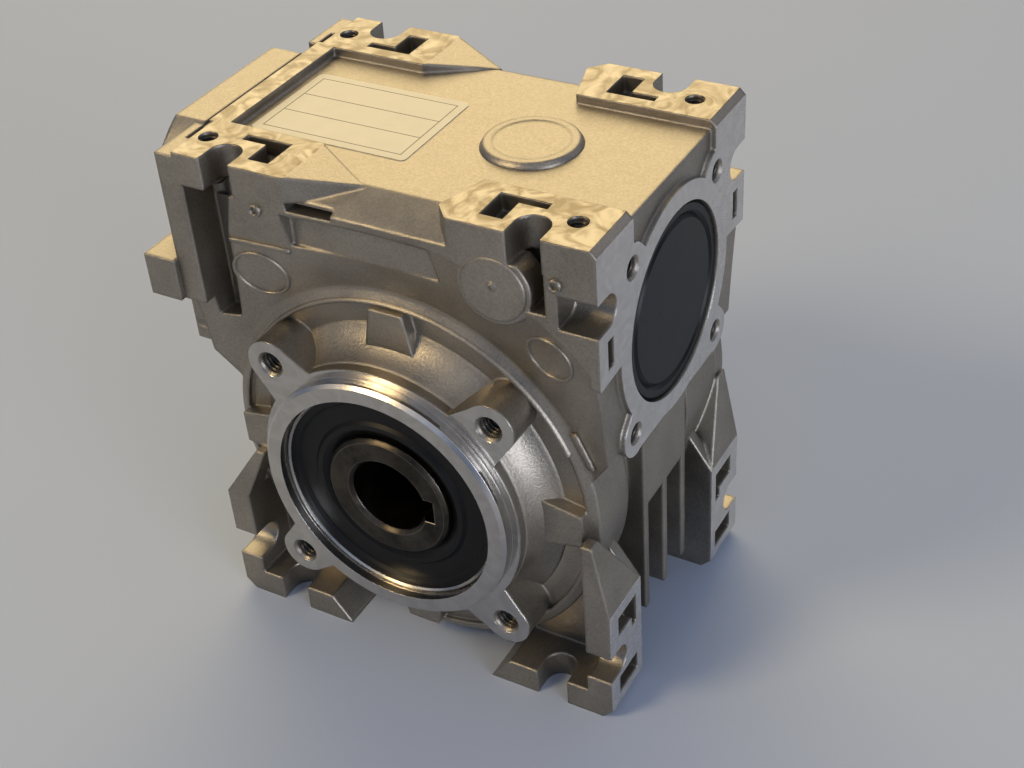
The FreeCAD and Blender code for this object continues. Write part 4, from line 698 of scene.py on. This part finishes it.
def wind_thread(mesh, mouth, inward, radius, pitch, turns):
    """A three-sided ridge wound into a hole from its mouth, added to a mesh."""
    root = radius + THREAD_BITE
    profile = ((root, 0.0), (radius - THREAD_HEIGHT * pitch, THREAD_WIDTH / 2 * pitch),
               (root, THREAD_WIDTH * pitch))
    ridge = bmesh.new()
    points = [ridge.verts.new((across, 0.0, along)) for across, along in profile]
    edges = [ridge.edges.new(pair) for pair in zip(points, points[1:] + points[:1])]
    bmesh.ops.spin(ridge, geom=points + edges, cent=(0, 0, 0), axis=(0, 0, 1),
                   dvec=(0, 0, pitch / THREAD_STEPS), angle=FULL_TURN * turns,
                   steps=THREAD_STEPS * turns)
    open_ends = [edge for edge in ridge.edges if edge.is_boundary]
    bmesh.ops.holes_fill(ridge, edges=open_ends, sides=len(profile))
    turn = Vector((0, 0, 1)).rotation_difference(Vector(inward)).to_matrix()
    bmesh.ops.rotate(ridge, verts=ridge.verts, cent=(0, 0, 0), matrix=turn)
    bmesh.ops.translate(ridge, verts=ridge.verts, vec=mouth)
    wound = bpy.data.meshes.new("thread")
    ridge.to_mesh(wound)
    ridge.free()
    mesh.from_mesh(wound)
    bpy.data.meshes.remove(wound)


threads = bmesh.new()
for side in (1, -1):
    for level in (1, -1):
        bolt_x = side * BOLT_CIRCLE * DIAGONAL
        bolt_z = level * BOLT_CIRCLE * DIAGONAL
        wind_thread(threads, (bolt_x, FRONT_MOUTH, bolt_z), (0, 1, 0),
                    FRONT_RADIUS, COARSE_PITCH, FRONT_TURNS)
        wind_thread(threads, (bolt_x, REAR_MOUTH, bolt_z), (0, -1, 0),
                    REAR_RADIUS, COARSE_PITCH, REAR_TURNS)
        end_y = side * END_CIRCLE * DIAGONAL
        end_z = WORM_HEIGHT + level * END_CIRCLE * DIAGONAL
        wind_thread(threads, (END_MOUTH, end_y, end_z), (-1, 0, 0),
                    SMALL_RADIUS, FINE_PITCH, END_TURNS)
        wind_thread(threads, (side * PAD_HOLE[0], level * PAD_HOLE[1], PAD_MOUTH), (0, 0, -1),
                    SMALL_RADIUS, FINE_PITCH, PAD_TURNS)
cut_metal = turned_metal("cut_aluminium", CUT_DULL, CUT_BRIGHT, "Y", OUTPUT_CENTRE, CUT_LINE)
finish_piece("threads", threads, cut_metal)

# Studio: a pale laminate table that runs back out of sight, a window behind on
# the left, a warm ceiling lamp and weaker light from the front, the sides and behind.
# Lamp places, lamp sizes and the table are in metres, lamp powers in watts.
FLOOR_GREY = "#a2acbe"
FLOOR_ROUGH = 0.7
FLOOR_SHINE = 0.2
FLOOR_FADE = (0.94, 1.04)
FLOOR_CLOUD_METRES = 1 / 3
FLOOR_HALF_METRES = 4.0
FOOT_PLANE = -50.0
SKY_BLUE = "#8aa0c4"
SKY_STRENGTH = 0.6


def pale_table():
    """A matt grey laminate with hardly any pattern."""
    made, tree, shader = new_material("pale_laminate")
    place = node(tree, "ShaderNodeTexCoord").outputs["Object"]
    cloud = node(tree, "ShaderNodeTexNoise",
                 {"Vector": place, "Scale": 1 / FLOOR_CLOUD_METRES, "Detail": 2.0})
    fade = node(tree, "ShaderNodeMapRange", {
        "Value": cloud.outputs["Fac"], "To Min": FLOOR_FADE[0], "To Max": FLOOR_FADE[1]})
    tint = node(tree, "ShaderNodeMix", {0: 1.0, 6: linear(FLOOR_GREY), 7: fade.outputs[0]},
                data_type="RGBA", blend_type="MULTIPLY")
    tree.links.new(tint.outputs[2], shader.inputs["Base Color"])
    shader.inputs["Roughness"].default_value = FLOOR_ROUGH
    shader.inputs["Specular IOR Level"].default_value = FLOOR_SHINE
    return made


table = bmesh.new()
bmesh.ops.create_grid(table, x_segments=1, y_segments=1, size=FLOOR_HALF_METRES)
bmesh.ops.translate(table, verts=table.verts, vec=(0.0, 0.0, FOOT_PLANE * MM))
data = bpy.data.meshes.new("table")
table.to_mesh(data)
table.free()
data.materials.append(pale_table())
floor = bpy.data.objects.new("table", data)
bpy.context.scene.collection.objects.link(floor)


def lamp(name, place, size, power, colour):
    """A square soft lamp that looks at the object."""
    light = bpy.data.lights.new(name, "AREA")
    light.size = size
    light.energy = power
    light.color = linear(colour)[:3]
    made = bpy.data.objects.new(name, light)
    made.location = place
    made.rotation_mode = "QUATERNION"
    made.rotation_quaternion = (-Vector(place)).to_track_quat("-Z", "Y")
    bpy.context.scene.collection.objects.link(made)


lamp("window_lamp", place=(-1.0, 1.6, 1.44), size=2.2, power=50.0, colour="#ffe4a6")
lamp("ceiling_lamp", place=(-0.71, -1.02, 1.16), size=0.45, power=14.0, colour="#ffe2ac")
lamp("left_lamp", place=(-1.6, -1.2, 1.0), size=1.2, power=1.5, colour="#fff4e6")
lamp("front_lamp", place=(0.4, -2.0, 1.8), size=1.4, power=2.5, colour="#dfe8ff")
lamp("side_lamp", place=(1.8, -0.85, 0.32), size=0.9, power=24.0, colour="#eef2ff")
lamp("right_lamp", place=(1.1, -0.6, 1.6), size=1.6, power=3.5, colour="#fff0d8")
lamp("rear_lamp", place=(1.3, 1.5, 0.95), size=1.2, power=2.5, colour="#ffeedd")
world = bpy.data.worlds.new("studio")
world.use_nodes = True
sky = world.node_tree.nodes["Background"]
sky.inputs["Color"].default_value = linear(SKY_BLUE)
sky.inputs["Strength"].default_value = SKY_STRENGTH
bpy.context.scene.world = world

# Camera: stands at the front right and above, as in the photograph. Its place,
# angles and focal length were fitted to the object's hole patterns there.
AZIMUTH = math.radians(31.7487)
ELEVATION = math.radians(36.7553)
ROLL = math.radians(-4.4851)
STAND = (163.008, -248.181, 224.629)
FOCUS_PIXELS = 1622.3
PICTURE_WIDTH = 1024
SENSOR = 36.0
NEAREST_METRES = 0.01
back = Vector((math.sin(AZIMUTH) * math.cos(ELEVATION),
               -math.cos(AZIMUTH) * math.cos(ELEVATION),
               math.sin(ELEVATION)))
lens = bpy.data.cameras.new("camera")
lens.sensor_width = SENSOR
lens.lens = FOCUS_PIXELS / PICTURE_WIDTH * SENSOR
lens.clip_start = NEAREST_METRES
camera = bpy.data.objects.new("camera", lens)
camera.location = Vector(STAND) * MM
camera.rotation_mode = "QUATERNION"
camera.rotation_quaternion = (-back).to_track_quat("-Z", "Y") @ Quaternion((0, 0, 1), ROLL)
bpy.context.scene.collection.objects.link(camera)
bpy.context.scene.camera = camera
bpy.context.scene.view_settings.view_transform = "Standard"
